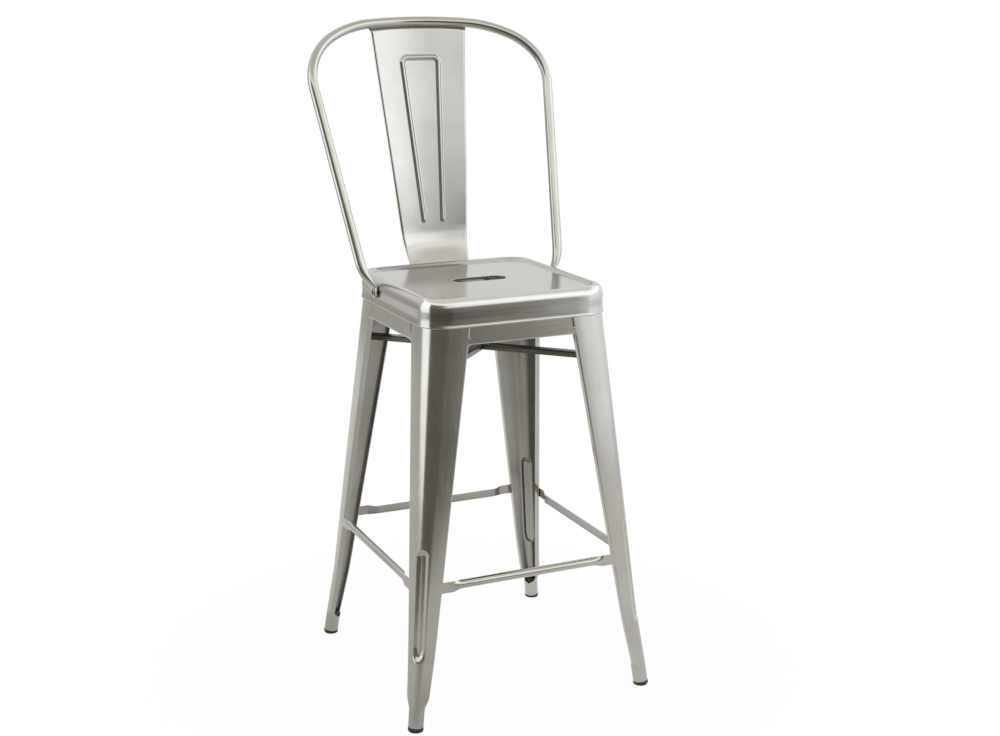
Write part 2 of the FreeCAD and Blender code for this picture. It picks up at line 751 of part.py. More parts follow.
def all_nodes():
    """Every piece of the stool by name, round the seat's middle."""
    nodes = {"seat_pan": seat_pan()}
    corners = {"rear_right": [], "rear_left": [vec(1, 0, 0)], "front_right": [vec(0, 1, 0)],
               "front_left": [vec(1, 0, 0), vec(0, 1, 0)]}
    legs = []
    for kind, piece in (("leg", leg()), ("foot_tube", foot_tube()), ("foot_pad", foot_pad())):
        for corner, mirrors in corners.items():
            shape = piece
            for normal in mirrors:
                shape = shape.mirror(origin, normal)
            nodes[corner + "_" + kind] = shape
            if kind == "leg":
                legs.append(shape)
    turns = {"rear": 0, "left": 90, "front": 180, "right": 270}
    for side, degrees in turns.items():
        across = side in ("left", "right")
        run_half, out_half = (half_y, half_x) if across else (half_x, half_y)
        for kind, make in (("apron", apron), ("rung", rung)):
            shape = make(run_half, out_half)
            shape.rotate(origin, up, degrees)
            nodes[side + "_" + kind] = drilled_apron(shape, side) if kind == "apron" else shape
    nodes["cross_brace"] = brace_bar(-1, legs)
    halves = brace_bar(1, legs).cut(brace_envelope(-1)).Solids
    for half in halves:
        name = "cross_brace_rear_right" if half.CenterOfMass.x > 0 else "cross_brace_front_left"
        nodes[name] = half
    nodes["back_hoop"] = back_hoop()
    nodes["back_splat"] = back_splat()
    wall = frame_inset + frame_sheet
    hoop_seats = []
    for side in (-1, 1):
        head_x = side * (seat_width / 2 + hoop_tab_thickness)
        hoop_seats.append((vec(head_x, hoop_bolt_y, bolt_z), vec(side, 0, 0)))
    splat_seats = []
    for x in splat_bolt_xs():
        splat_seats.append((vec(x, seat_depth / 2 + splat_sheet, bolt_z), vec(0, 1, 0)))
    nodes.update(fasteners("hoop", hoop_seats, hoop_tab_thickness + wall))
    nodes.update(fasteners("splat", splat_seats, splat_sheet + wall))
    return nodes


def drilled_apron(shape, side):
    """The side and rear aprons have bolt holes, the front one has none."""
    return shape if side == "front" else drilled(shape)


os.makedirs("parts", exist_ok=True)
stool = all_nodes()
box = Part.makeCompound(list(stool.values())).optimalBoundingBox(False, False)
# The origin is on the floor, under the middle of the whole stool's box.
to_origin = vec(-box.Center.x, -box.Center.y, 0)
for node, solid in stool.items():
    solid.translate(to_origin)
    solid.exportStep("parts/" + node + ".step")
print("moved by", to_origin, "overall", box.XLength, box.YLength, box.ZLength, "lowest", box.ZMin)
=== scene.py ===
"""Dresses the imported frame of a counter-height stool of brushed sheet steel."""
import logging
import math
from dataclasses import Field, dataclass, field
from enum import Enum
from typing import Callable, Sequence

import bmesh
import bpy
from bpy.types import Material, Mesh, Node, NodeTree, Object
from mathutils import Matrix, Vector


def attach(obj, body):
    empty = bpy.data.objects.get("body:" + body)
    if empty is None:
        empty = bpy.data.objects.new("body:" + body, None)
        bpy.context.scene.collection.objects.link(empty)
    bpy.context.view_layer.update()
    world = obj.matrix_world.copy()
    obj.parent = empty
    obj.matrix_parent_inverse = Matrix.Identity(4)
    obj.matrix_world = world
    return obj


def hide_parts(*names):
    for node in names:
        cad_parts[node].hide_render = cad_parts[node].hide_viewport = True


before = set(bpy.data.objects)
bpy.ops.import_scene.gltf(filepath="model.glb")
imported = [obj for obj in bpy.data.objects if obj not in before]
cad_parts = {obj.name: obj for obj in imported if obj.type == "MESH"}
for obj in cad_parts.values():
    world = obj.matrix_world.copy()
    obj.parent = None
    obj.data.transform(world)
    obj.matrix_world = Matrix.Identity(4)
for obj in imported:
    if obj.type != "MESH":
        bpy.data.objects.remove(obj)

logging.basicConfig(level=logging.INFO, format="%(message)s")
log = logging.getLogger("stool")

MM = 0.001
BODY = "root"
# Sizes are in millimetres round the seat's middle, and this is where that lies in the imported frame.
SEAT_TO_FRAME = Vector((0.0, -26.067, 0.0))
UP = Vector((0.0, 0.0, 1.0))
DIAGONAL = math.sqrt(0.5)
SUPPORTED = (0.04, 0.3, 0.5, 0.7, 0.96)  # stations on a flat, close to its ends to hold the shading
SHARP_DEGREES = 40.0
SEED = 7

Ring = list[Vector]
Profile = list[tuple[float, float]]
Marks = dict[str, Sequence[Sequence[float]]]


class Slot(Enum):
    """The record's material slots."""

    FRAME = "frame_steel"
    SEAT = "seat_steel"
    BACK = "back_steel"
    FASTENER = "fastener_steel"
    RUBBER = "rubber"


class Grain(Enum):
    """Direction that a sheet was brushed along, as the stretch of its pattern in X, Y and Z."""

    ALONG_X = (0.02, 1.0, 1.0)
    ALONG_Y = (1.0, 0.02, 1.0)
    ALONG_Z = (1.0, 1.0, 0.02)


class Side(Enum):
    """Side of the stool that an apron or a rung is on, as a turn from the rear in degrees."""

    REAR = 0
    LEFT = 90
    FRONT = 180
    RIGHT = 270

    @property
    def label(self) -> str:
        """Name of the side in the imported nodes' names."""
        return self.name.lower()

    @property
    def runs_along_y(self) -> bool:
        """True where the side's length lies along Y."""
        return self in (Side.LEFT, Side.RIGHT)


class Corner(Enum):
    """Corner of the stool that a leg stands at, as the signs of X and Y."""

    REAR_RIGHT = (1, 1)
    REAR_LEFT = (-1, 1)
    FRONT_RIGHT = (1, -1)
    FRONT_LEFT = (-1, -1)

    @property
    def label(self) -> str:
        """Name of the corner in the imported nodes' names."""
        return self.name.lower()

    def place(self, points: Ring) -> Ring:
        """Points made in the corner where X and Y are positive, moved to this corner."""
        sx, sy = self.value
        return [Vector((sx * p.x, sy * p.y, p.z)) for p in points]


def linear(hex_colour: str) -> tuple[float, float, float, float]:
    """Turns an sRGB hex colour into linear values.

    Args:
        hex_colour: colour as six hex digits.

    Returns:
        Red, green, blue and alpha.
    """
    parts = []
    for start in (0, 2, 4):
        value = int(hex_colour[start:start + 2], 16) / 255
        parts.append(value / 12.92 if value <= 0.04045 else ((value + 0.055) / 1.055) ** 2.4)
    return parts[0], parts[1], parts[2], 1.0


def ease(value: float) -> float:
    """Smooth step from 0 to 1, held outside that range."""
    t = min(1.0, max(0.0, value))
    return t * t * (3 - 2 * t)


def between(value: float, low: float, high: float, at_low: float, at_high: float) -> float:
    """Value on the straight line through (low, at_low) and (high, at_high)."""
    return at_low + (at_high - at_low) * (value - low) / (high - low)


def bent(z: float, knots: Profile) -> float:
    """Value at a height on a line that bends at knots.

    Args:
        z: height.
        knots: heights, from the lowest up, and the values there.

    Returns:
        The value, carried on straight past the first and last knots.
    """
    for low, high in zip(knots, knots[1:]):
        if z <= high[0]:
            break
    return between(z, low[0], high[0], low[1], high[1])


def averaged(shape: Callable[[float], float], z: float, window: float) -> float:
    """Mean of a bent line round z, which rounds the line's bends.

    Args:
        shape: size as a function of height.
        z: height.
        window: half the height over which a bend is rounded.

    Returns:
        The rounded size.
    """
    steps = 4
    return sum(shape(z + window * k / steps) for k in range(-steps, steps + 1)) / (2 * steps + 1)


def spread(low: float, high: float, count: int) -> list[float]:
    """Evenly spaced values from low to high, both included."""
    return [low + (high - low) * i / (count - 1) for i in range(count)]


def stacked(*runs: tuple[float, float, int]) -> list[float]:
    """Evenly spaced heights of several runs, each given by its start, its end and how many it has."""
    return [z for start, end, count in runs for z in spread(start, end, count)]


def around(steps: int) -> list[float]:
    """Evenly spaced angles once round a circle."""
    return spread(0, 2 * math.pi, steps + 1)[:-1]


def inside(rings: Sequence[Ring]) -> list[list[float]]:
    """Marks for the second half of each ring, which is the sheet's inner face."""
    half = len(rings[0]) // 2
    return [[0.0] * half + [1.0] * half for _ in rings]


def mesh_of(name: str, rings: Sequence[Ring], looped: bool = False, capped: bool = False,
            marks: Marks | None = None) -> Mesh:
    """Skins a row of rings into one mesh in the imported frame, in metres.

    Args:
        name: the mesh's name.
        rings: rings of equally many points, in millimetres round the seat's middle.
        looped: the last ring joins the first.
        capped: the first and last rings are filled.
        marks: values from 0 to 1 for each point, by the name that the finish reads them by.

    Returns:
        The mesh, with its faces outwards and its sharp edges marked.
    """
    width = len(rings[0])
    points = [(p + SEAT_TO_FRAME) * MM for ring in rings for p in ring]
    faces: list[list[int]] = []
    for i in range(len(rings) if looped else len(rings) - 1):
        here, there = i * width, (i + 1) % len(rings) * width
        for j in range(width):
            k = (j + 1) % width
            faces.append([here + j, here + k, there + k, there + j])
    if capped:
        faces.append(list(range(width))[::-1])
        faces.append([(len(rings) - 1) * width + j for j in range(width)])
    mesh = bpy.data.meshes.new(name)
    mesh.from_pydata(points, [], faces)
    mesh.validate()
    tidy_normals(mesh)
    for mark, rows in (marks or {}).items():
        layer = mesh.attributes.new(mark, "FLOAT", "POINT")
        layer.data.foreach_set("value", [value for row in rows for value in row])
    return mesh


def tidy_normals(mesh: Mesh, sharp_degrees: float = SHARP_DEGREES) -> None:
    """Turns faces outwards and shades the mesh smooth up to an angle.

    Args:
        mesh: closed mesh to tidy.
        sharp_degrees: edges that turn more than this stay sharp.
    """
    volume = 0.0
    for face in mesh.polygons:
        corners = [mesh.vertices[i].co for i in face.vertices]
        for b, c in zip(corners[1:], corners[2:]):
            volume += corners[0].dot(b.cross(c))
    if volume < 0:
        mesh.flip_normals()
    mesh.shade_smooth()
    mesh.set_sharp_from_angle(angle=math.radians(sharp_degrees))


def close_ends(mesh: Mesh, width: int, sharp_degrees: float) -> None:
    """Closes the first and last rings of a sheet, strip by strip between its two faces.

    Args:
        mesh: skinned sheet with open ends.
        width: points in a ring, one face's first and then the other's the other way.
        sharp_degrees: edges that turn more than this stay sharp.
    """
    work = bmesh.new()
    work.from_mesh(mesh)
    work.verts.ensure_lookup_table()
    for start in (0, len(work.verts) - width):
        for j in range(width // 2 - 1):
            corners = (start + j, start + j + 1, start + width - 2 - j, start + width - 1 - j)
            work.faces.new([work.verts[i] for i in corners])
    bmesh.ops.recalc_face_normals(work, faces=work.faces)
    work.to_mesh(mesh)
    work.free()
    tidy_normals(mesh, sharp_degrees)


def walled(grid: Sequence[Ring], thickness: float) -> list[Ring]:
    """Gives a sheet its thickness.

    Args:
        grid: rows of points over the sheet's face.
        thickness: how far the other face lies, against the cross product of column and row directions.

    Returns:
        Closed rings, one for each row, through both faces.
    """
    rows, columns = len(grid), len(grid[0])
    rings = []
    for i in range(rows):
        back = []
        for j in range(columns):
            along = grid[i][min(j + 1, columns - 1)] - grid[i][max(j - 1, 0)]
            down = grid[min(i + 1, rows - 1)][j] - grid[max(i - 1, 0)][j]
            back.append(grid[i][j] - along.cross(down).normalized() * thickness)
        rings.append(list(grid[i]) + back[::-1])
    return rings


def put(name: str, mesh: Mesh, material: Material, slot: Slot,
        nodes: Sequence[str] = ()) -> None:
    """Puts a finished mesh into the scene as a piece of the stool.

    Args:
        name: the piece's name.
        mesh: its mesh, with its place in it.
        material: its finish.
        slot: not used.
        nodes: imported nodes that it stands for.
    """
    mesh.materials.clear()
    mesh.materials.append(material)
    piece = bpy.data.objects.new(name, mesh)
    bpy.context.scene.collection.objects.link(piece)
    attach(piece, BODY)
    if nodes:
        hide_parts(*nodes)
    log.info("%s: %d faces, stands for %s", name, len(mesh.polygons), ", ".join(nodes) or "no node")


def put_sheet(name: str, rings: Sequence[Ring], material: Material, slot: Slot, node: str,
              marks: Marks | None = None, sharp_degrees: float = SHARP_DEGREES) -> None:
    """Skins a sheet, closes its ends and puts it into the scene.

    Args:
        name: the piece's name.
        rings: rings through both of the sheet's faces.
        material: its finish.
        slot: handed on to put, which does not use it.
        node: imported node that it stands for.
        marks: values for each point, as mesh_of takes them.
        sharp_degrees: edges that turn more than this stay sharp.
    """
    mesh = mesh_of(name, rings, marks=marks)
    close_ends(mesh, len(rings[0]), sharp_degrees)
    put(name, mesh, material, slot, [node])


def add(tree: NodeTree, kind: str, inputs: dict[str | int, object] | None = None,
        **settings: object) -> Node:
    """Adds a node with its settings and links.

    Args:
        tree: node tree.
        kind: the node's type.
        inputs: value, or (node, output) to link, by the input's name or number.
        settings: the node's own settings.

    Returns:
        The node.
    """
    node = tree.nodes.new(kind)
    for key, value in settings.items():
        setattr(node, key, value)
    for key, value in (inputs or {}).items():
        if isinstance(value, tuple) and value and isinstance(value[0], Node):
            tree.links.new(value[0].outputs[value[1]], node.inputs[key])
        else:
            node.inputs[key].default_value = value
    return node


def new_material(name: str) -> tuple[Material, NodeTree]:
    """Empty node material.

    Args:
        name: the material's name.

    Returns:
        The material and its tree.
    """
    material = bpy.data.materials.new(name)
    material.use_nodes = True
    material.node_tree.nodes.clear()
    return material, material.node_tree


def dress(tree: NodeTree, pattern: tuple[Node, str], colours: tuple[str, str], roughness: tuple[float, float],
          inputs: dict[str | int, object]) -> None:
    """Adds a shader whose colour and roughness follow one pattern.

    Args:
        tree: the material's tree.
        pattern: node and output of a pattern from 0 to 1.
        colours: hex colours at the pattern's two ends.
        roughness: roughness at its two ends.
        inputs: the shader's other inputs.
    """
    colour = add(tree, "ShaderNodeMix", {"Factor": pattern, 6: linear(colours[0]), 7: linear(colours[1])},
                 data_type="RGBA")
    gloss = add(tree, "ShaderNodeMapRange", {"Value": pattern, "To Min": roughness[0], "To Max": roughness[1]})
    shader = add(tree, "ShaderNodeBsdfPrincipled",
                 {"Base Color": (colour, 2), "Roughness": (gloss, "Result"), **inputs})
    add(tree, "ShaderNodeOutputMaterial", {"Surface": (shader, "BSDF")})


@dataclass(frozen=True)
class BrushedSteel:
    """Cold-rolled steel sheet, brushed with a belt and sealed with clear lacquer.

    The belt leaves fine lines that stretch its reflections, the lacquer adds a thin gloss, and the sheet's
    colour is a warm grey that drifts a little from place to place. Rubbed edges are paler, which along the
    legs' folds is also a painted highlight. Faces marked inner are rougher and darkened as painted shade.
    """

    name: str
    grain: Grain
    colour: str = "b4b2aa"
    tint: str = "aaa8a0"
    rubbed: str = "cfcec9"
    roughness: float = 0.2
    roughness_spread: float = 0.08
    lacquer: float = 0.15
    lacquer_roughness: float = 0.08
    line_mm: float = 2.2  # belt lines, drawn coarser than the real 0.1 mm so that they show
    line_depth: float = 1.0
    line_dark: float = 0.05
    line_pale: float = 0.03
    relief: float = 0.08
    relief_mm: float = 0.03
    inner_shade: float = 0.76  # painted shade on inside faces; inner_rough also makes them rougher, as mill skin
    inner_rough: float = 0.14
    drift_mm: float = 85.0

    def make(self) -> Material:
        """Builds the finish.

        Returns:
            The material.
        """
        material, tree = new_material(self.name)
        coords = add(tree, "ShaderNodeTexCoord")
        stretch = tuple(1000 / self.line_mm * s for s in self.grain.value)
        lines_at = add(tree, "ShaderNodeMapping", {"Vector": (coords, "Object"), "Scale": stretch})
        lines = add(tree, "ShaderNodeTexNoise",
                    {"Vector": (lines_at, "Vector"), "Scale": 1.0, "Detail": 4.0, "Roughness": 0.65})
        drift = add(tree, "ShaderNodeTexNoise",
                    {"Vector": (coords, "Object"), "Scale": 1000 / self.drift_mm, "Detail": 3.0})
        drift_level = add(tree, "ShaderNodeMapRange",
                          {"Value": (drift, "Fac"), "From Min": 0.35, "From Max": 0.65})
        sheet = add(tree, "ShaderNodeMix", {"Factor": (drift_level, "Result"), 6: linear(self.colour),
                                            7: linear(self.tint)}, data_type="RGBA")
        line_level = add(tree, "ShaderNodeMapRange",
                         {"Value": (lines, "Fac"), "From Min": 0.3, "From Max": 0.7,
                          "To Min": 1 - self.line_dark * self.line_depth,
                          "To Max": 1 + self.line_pale * self.line_depth})
        lined = add(tree, "ShaderNodeMix", {"Factor": 1.0, 6: (sheet, 2), 7: (line_level, "Result")},
                    data_type="RGBA", blend_type="MULTIPLY")
        # rubbed places turn paler: wear on the seat's rim and panel, and wear that is also a painted highlight
        # along the legs' folds
        wear = add(tree, "ShaderNodeAttribute", attribute_name="wear")
        patchy = add(tree, "ShaderNodeMapRange", {"Value": (drift, "Fac"), "From Min": 0.35, "From Max": 0.65,
                                                  "To Min": 0.55, "To Max": 1.0})
        rub_and_highlight = add(tree, "ShaderNodeMath", {0: (wear, "Fac"), 1: (patchy, "Result")}, operation="MULTIPLY")
        worn = add(tree, "ShaderNodeMix", {"Factor": (rub_and_highlight, "Value"), 6: (lined, 2), 7: linear(self.rubbed)},
                   data_type="RGBA")
        # painted shade: faces marked inner are darkened by inner_shade, and made rougher by inner_rough
        inner = add(tree, "ShaderNodeAttribute", attribute_name="inner")
        inner_painted_shade = add(tree, "ShaderNodeMapRange",
                     {"Value": (inner, "Fac"), "To Min": 1.0, "To Max": self.inner_shade})
        colour = add(tree, "ShaderNodeMix", {"Factor": 1.0, 6: (worn, 2), 7: (inner_painted_shade, "Result")},
                     data_type="RGBA", blend_type="MULTIPLY")
        gloss = add(tree, "ShaderNodeMapRange",
                    {"Value": (lines, "Fac"), "From Min": 0.3, "From Max": 0.7,
                     "To Min": self.roughness - self.roughness_spread * self.line_depth / 2,
                     "To Max": self.roughness + self.roughness_spread * self.line_depth / 2})
        mill = add(tree, "ShaderNodeMath", {0: (inner, "Fac"), 1: self.inner_rough, 2: (gloss, "Result")},
                   operation="MULTIPLY_ADD")
        relief = add(tree, "ShaderNodeBump",
                     {"Height": (lines, "Fac"), "Strength": self.relief * self.line_depth,
                      "Distance": self.relief_mm * MM})
        shader = add(tree, "ShaderNodeBsdfPrincipled",
                     {"Base Color": (colour, 2), "Metallic": 1.0, "Roughness": (mill, "Value"),
                      "Normal": (relief, "Normal"), "Coat Weight": self.lacquer,
                      "Coat Roughness": self.lacquer_roughness})
        add(tree, "ShaderNodeOutputMaterial", {"Surface": (shader, "BSDF")})
        return material


@dataclass(frozen=True)
class WeldSteel:
    """Weld metal left as it cooled: rippled, with straw and rose heat colours under the lacquer."""

    name: str = "weld_steel_heat_tinted"
    colours: tuple[str, str] = ("aca595", "b09a90")
    roughness: tuple[float, float] = (0.3, 0.5)
    patch_mm: float = 4.0

    def make(self) -> Material:
        """Builds the finish.

        Returns:
            The material.
        """
        material, tree = new_material(self.name)
        coords = add(tree, "ShaderNodeTexCoord")
        patches = add(tree, "ShaderNodeTexNoise",
                      {"Vector": (coords, "Object"), "Scale": 1000 / self.patch_mm, "Detail": 2.0})
        dress(tree, (patches, "Fac"), self.colours, self.roughness, {"Metallic": 1.0})
        return material


@dataclass(frozen=True)
class ZincPlate:
    """Zinc-plated bolt steel: a dull, slightly mottled grey with soft reflections."""

    name: str = "zinc_plated_bolt_steel"
    colours: tuple[str, str] = ("8d8c86", "6f6e69")
    roughness: tuple[float, float] = (0.26, 0.42)
    spangle_mm: float = 3.0

    def make(self) -> Material:
        """Builds the finish.

        Returns:
            The material.
        """
        material, tree = new_material(self.name)
        coords = add(tree, "ShaderNodeTexCoord")
        spangle = add(tree, "ShaderNodeTexVoronoi",
                      {"Vector": (coords, "Object"), "Scale": 1000 / self.spangle_mm})
        dress(tree, (spangle, "Distance"), self.colours, self.roughness, {"Metallic": 1.0})
        return material


@dataclass(frozen=True)
class MouldedRubber:
    """Moulded rubber: nearly black, soft in its highlights, with a fine mould grain and a little dust."""

    name: str = "moulded_black_rubber"
    colours: tuple[str, str] = ("111111", "1d1c1b")
    roughness: tuple[float, float] = (0.42, 0.62)
    relief: float = 0.25
    relief_mm: float = 0.1
    grain_mm: float = 0.9
    dust_mm: float = 9.0

    def make(self) -> Material:
        """Builds the finish.

        Returns:
            The material.
        """
        material, tree = new_material(self.name)
        coords = add(tree, "ShaderNodeTexCoord")
        dust = add(tree, "ShaderNodeTexNoise",
                   {"Vector": (coords, "Object"), "Scale": 1000 / self.dust_mm, "Detail": 4.0})
        grain = add(tree, "ShaderNodeTexNoise",
                    {"Vector": (coords, "Object"), "Scale": 1000 / self.grain_mm, "Detail": 2.0})
        relief = add(tree, "ShaderNodeBump", {"Height": (grain, "Fac"), "Strength": self.relief,
                                              "Distance": self.relief_mm * MM})
        dress(tree, (dust, "Fac"), self.colours, self.roughness, {"IOR": 1.52, "Normal": (relief, "Normal")})
        return material


def brushed(name: str, grain: Grain, **changes: float | str) -> Field:
    """Field that holds brushed steel, with what differs from the plain sheet."""
    return field(default_factory=lambda: BrushedSteel(name, grain, **changes).make())


@dataclass
class Finishes:
    """Every finish of the stool, made once."""

    upright: Material = brushed("steel_brushed_upright", Grain.ALONG_Z)
    across: Material = brushed("steel_brushed_across", Grain.ALONG_X, roughness=0.14, line_depth=0.5)
    fore_and_aft: Material = brushed("steel_brushed_fore_and_aft", Grain.ALONG_Y, roughness=0.14,
                                     line_depth=0.5)
    # the seat's inner_shade is painted shade on the slot's walls and the pan's underside
    seat: Material = brushed("steel_brushed_seat", Grain.ALONG_X, colour="aeaca5", tint="a5a39b",
                             roughness=0.15, roughness_spread=0.05, lacquer_roughness=0.05, inner_shade=0.45)
    splat: Material = brushed("steel_brushed_splat", Grain.ALONG_Z, roughness=0.17, roughness_spread=0.06)
    rail: Material = brushed("steel_rail_polished", Grain.ALONG_Z, colour="aba9a1", tint="a2a097",
                             roughness=0.13, line_depth=0.15)
    rung_across: Material = brushed("steel_rung_across", Grain.ALONG_X, roughness=0.17, line_depth=0.15)
    rung_fore_and_aft: Material = brushed("steel_rung_fore_and_aft", Grain.ALONG_Y, roughness=0.17,
                                          line_depth=0.15)
    # the brace's rougher, barely lacquered sheet, made darker as painted shade for its place under the seat
    mill: Material = brushed("steel_sheet_mill_skin", Grain.ALONG_X, colour="86837a", tint="7d7a70",
                             roughness=0.34, lacquer=0.05)
    weld: Material = field(default_factory=lambda: WeldSteel().make())
    zinc: Material = field(default_factory=lambda: ZincPlate().make())
    rubber: Material = field(default_factory=lambda: MouldedRubber().make())

    def side(self, side: Side) -> Material:
        """Steel brushed along a side's length."""
        return self.fore_and_aft if side.runs_along_y else self.across

    def rung(self, side: Side) -> Material:
        """Smoother steel, polished along a rung's length."""
        return self.rung_fore_and_aft if side.runs_along_y else self.rung_across


@dataclass
class FrameForm:
    """Outer form of the legs and aprons, which stand inside the seat's skirt and splay outwards below it."""

    seat_half_x: float = 155.5
    seat_half_y: float = 158.5
    skirt_z: float = 620.0
    top_z: float = 636.0
    inset: float = 1.6
    splay: float = 42.0
    kick_z: float = 117.0
    foot_half_x: float = 199.5
    foot_half_y: float = 201.0
    tube_r: float = 12.0
    sheet: float = 1.5
    fold_r: float = 1.7
    face_top: float = 69.0
    face_kick: float = 32.5
    face_shoulder: float = 26.5
    face_end: float = 24.6
    corner_top: float = 41.4
    corner_kick: float = 18.0
    lip_width: float = 9.0
    lip_over: float = 0.2
    shoulder_z: float = 46.0
    fold_z: float = 54.0
    close_z: float = 37.0
    wrap_z: float = 33.0
    end_z: float = 29.0
    kick_bend: float = 26.0
    shoulder_bend: float = 3.0
    skirt_bend: float = 1.5

    def closing(self, z: float) -> float:
        """Angle by which a leg's fold turns past square, so that the leg's end closes round the tube."""
        return math.pi / 4 * ease((self.close_z - z) / (self.close_z - self.end_z))

    def _half(self, z: float, seat_half: float, foot_half: float) -> float:
        """Half width with a sharp kick."""
        knots = [(0.0, foot_half + self.tube_r), (self.kick_z, seat_half + self.splay),
                 (self.skirt_z, seat_half - self.inset)]
        return bent(min(z, self.skirt_z), knots)

    def _bend(self, z: float) -> float:
        """Half the height over which the form's bend near z is rounded."""
        return self.kick_bend if z < self.kick_z + 2 * self.kick_bend else self.skirt_bend

    def half_x(self, z: float) -> float:
        """Half width over the outer faces at height z."""
        return averaged(lambda h: self._half(h, self.seat_half_x, self.foot_half_x), z, self._bend(z))

    def half_y(self, z: float) -> float:
        """Half depth over the outer faces at height z."""
        return averaged(lambda h: self._half(h, self.seat_half_y, self.foot_half_y), z, self._bend(z))

    def _face(self, z: float) -> float:
        """Width of a leg's face with sharp bends, narrowed from the shoulder down to its end.

        Args:
            z: height.

        Returns:
            The width.
        """
        if z >= self.shoulder_z:
            knots = [(self.shoulder_z, self.face_shoulder), (self.kick_z, self.face_kick),
                     (self.skirt_z, self.face_top)]
            return bent(min(z, self.skirt_z), knots)
        narrowed = ease((self.shoulder_z - z) / (self.shoulder_z - self.wrap_z))
        return between(narrowed, 0, 1, self.face_shoulder, self.face_end)

    def wrap(self, z: float) -> float:
        """How far the leg's end is rolled round the foot tube, from 0 to 1."""
        return ease((self.fold_z - z) / (self.fold_z - self.wrap_z))

    def fold(self, z: float) -> float:
        """Radius of the fold along a leg's free edge, which grows into the foot tube's own radius."""
        return between(self.wrap(z), 0, 1, self.fold_r, self.tube_r)

    def face(self, z: float) -> float:
        """Width of a leg's face at height z."""
        return averaged(self._face, z, self.shoulder_bend)

    def corner(self, z: float) -> float:
        """Radius of a leg's outer corner at height z."""
        knots = [(self.wrap_z, self.tube_r), (self.kick_z, self.corner_kick), (self.skirt_z, self.corner_top)]
        return max(self.tube_r, bent(min(z, self.skirt_z), knots))

    def lip(self, z: float) -> float:
        """Width of the lip folded in along a leg's free edges at height z."""
        return max(self.fold(z) + self.lip_over, self.lip_width)

    def foot_axis(self) -> Vector:
        """Direction up the foot in the corner where X and Y are positive.

        Returns:
            The unit vector.
        """
        kick_x = self.seat_half_x + self.splay - self.tube_r - self.foot_half_x
        kick_y = self.seat_half_y + self.splay - self.tube_r - self.foot_half_y
        return Vector((kick_x, kick_y, self.kick_z)).normalized()

    def run_half(self, side: Side) -> Callable[[float], float]:
        """Half size along a side, as a function of height."""
        return self.half_y if side.runs_along_y else self.half_x

    def out_half(self, side: Side) -> Callable[[float], float]:
        """Half size across a side, as a function of height."""
        return self.half_x if side.runs_along_y else self.half_y


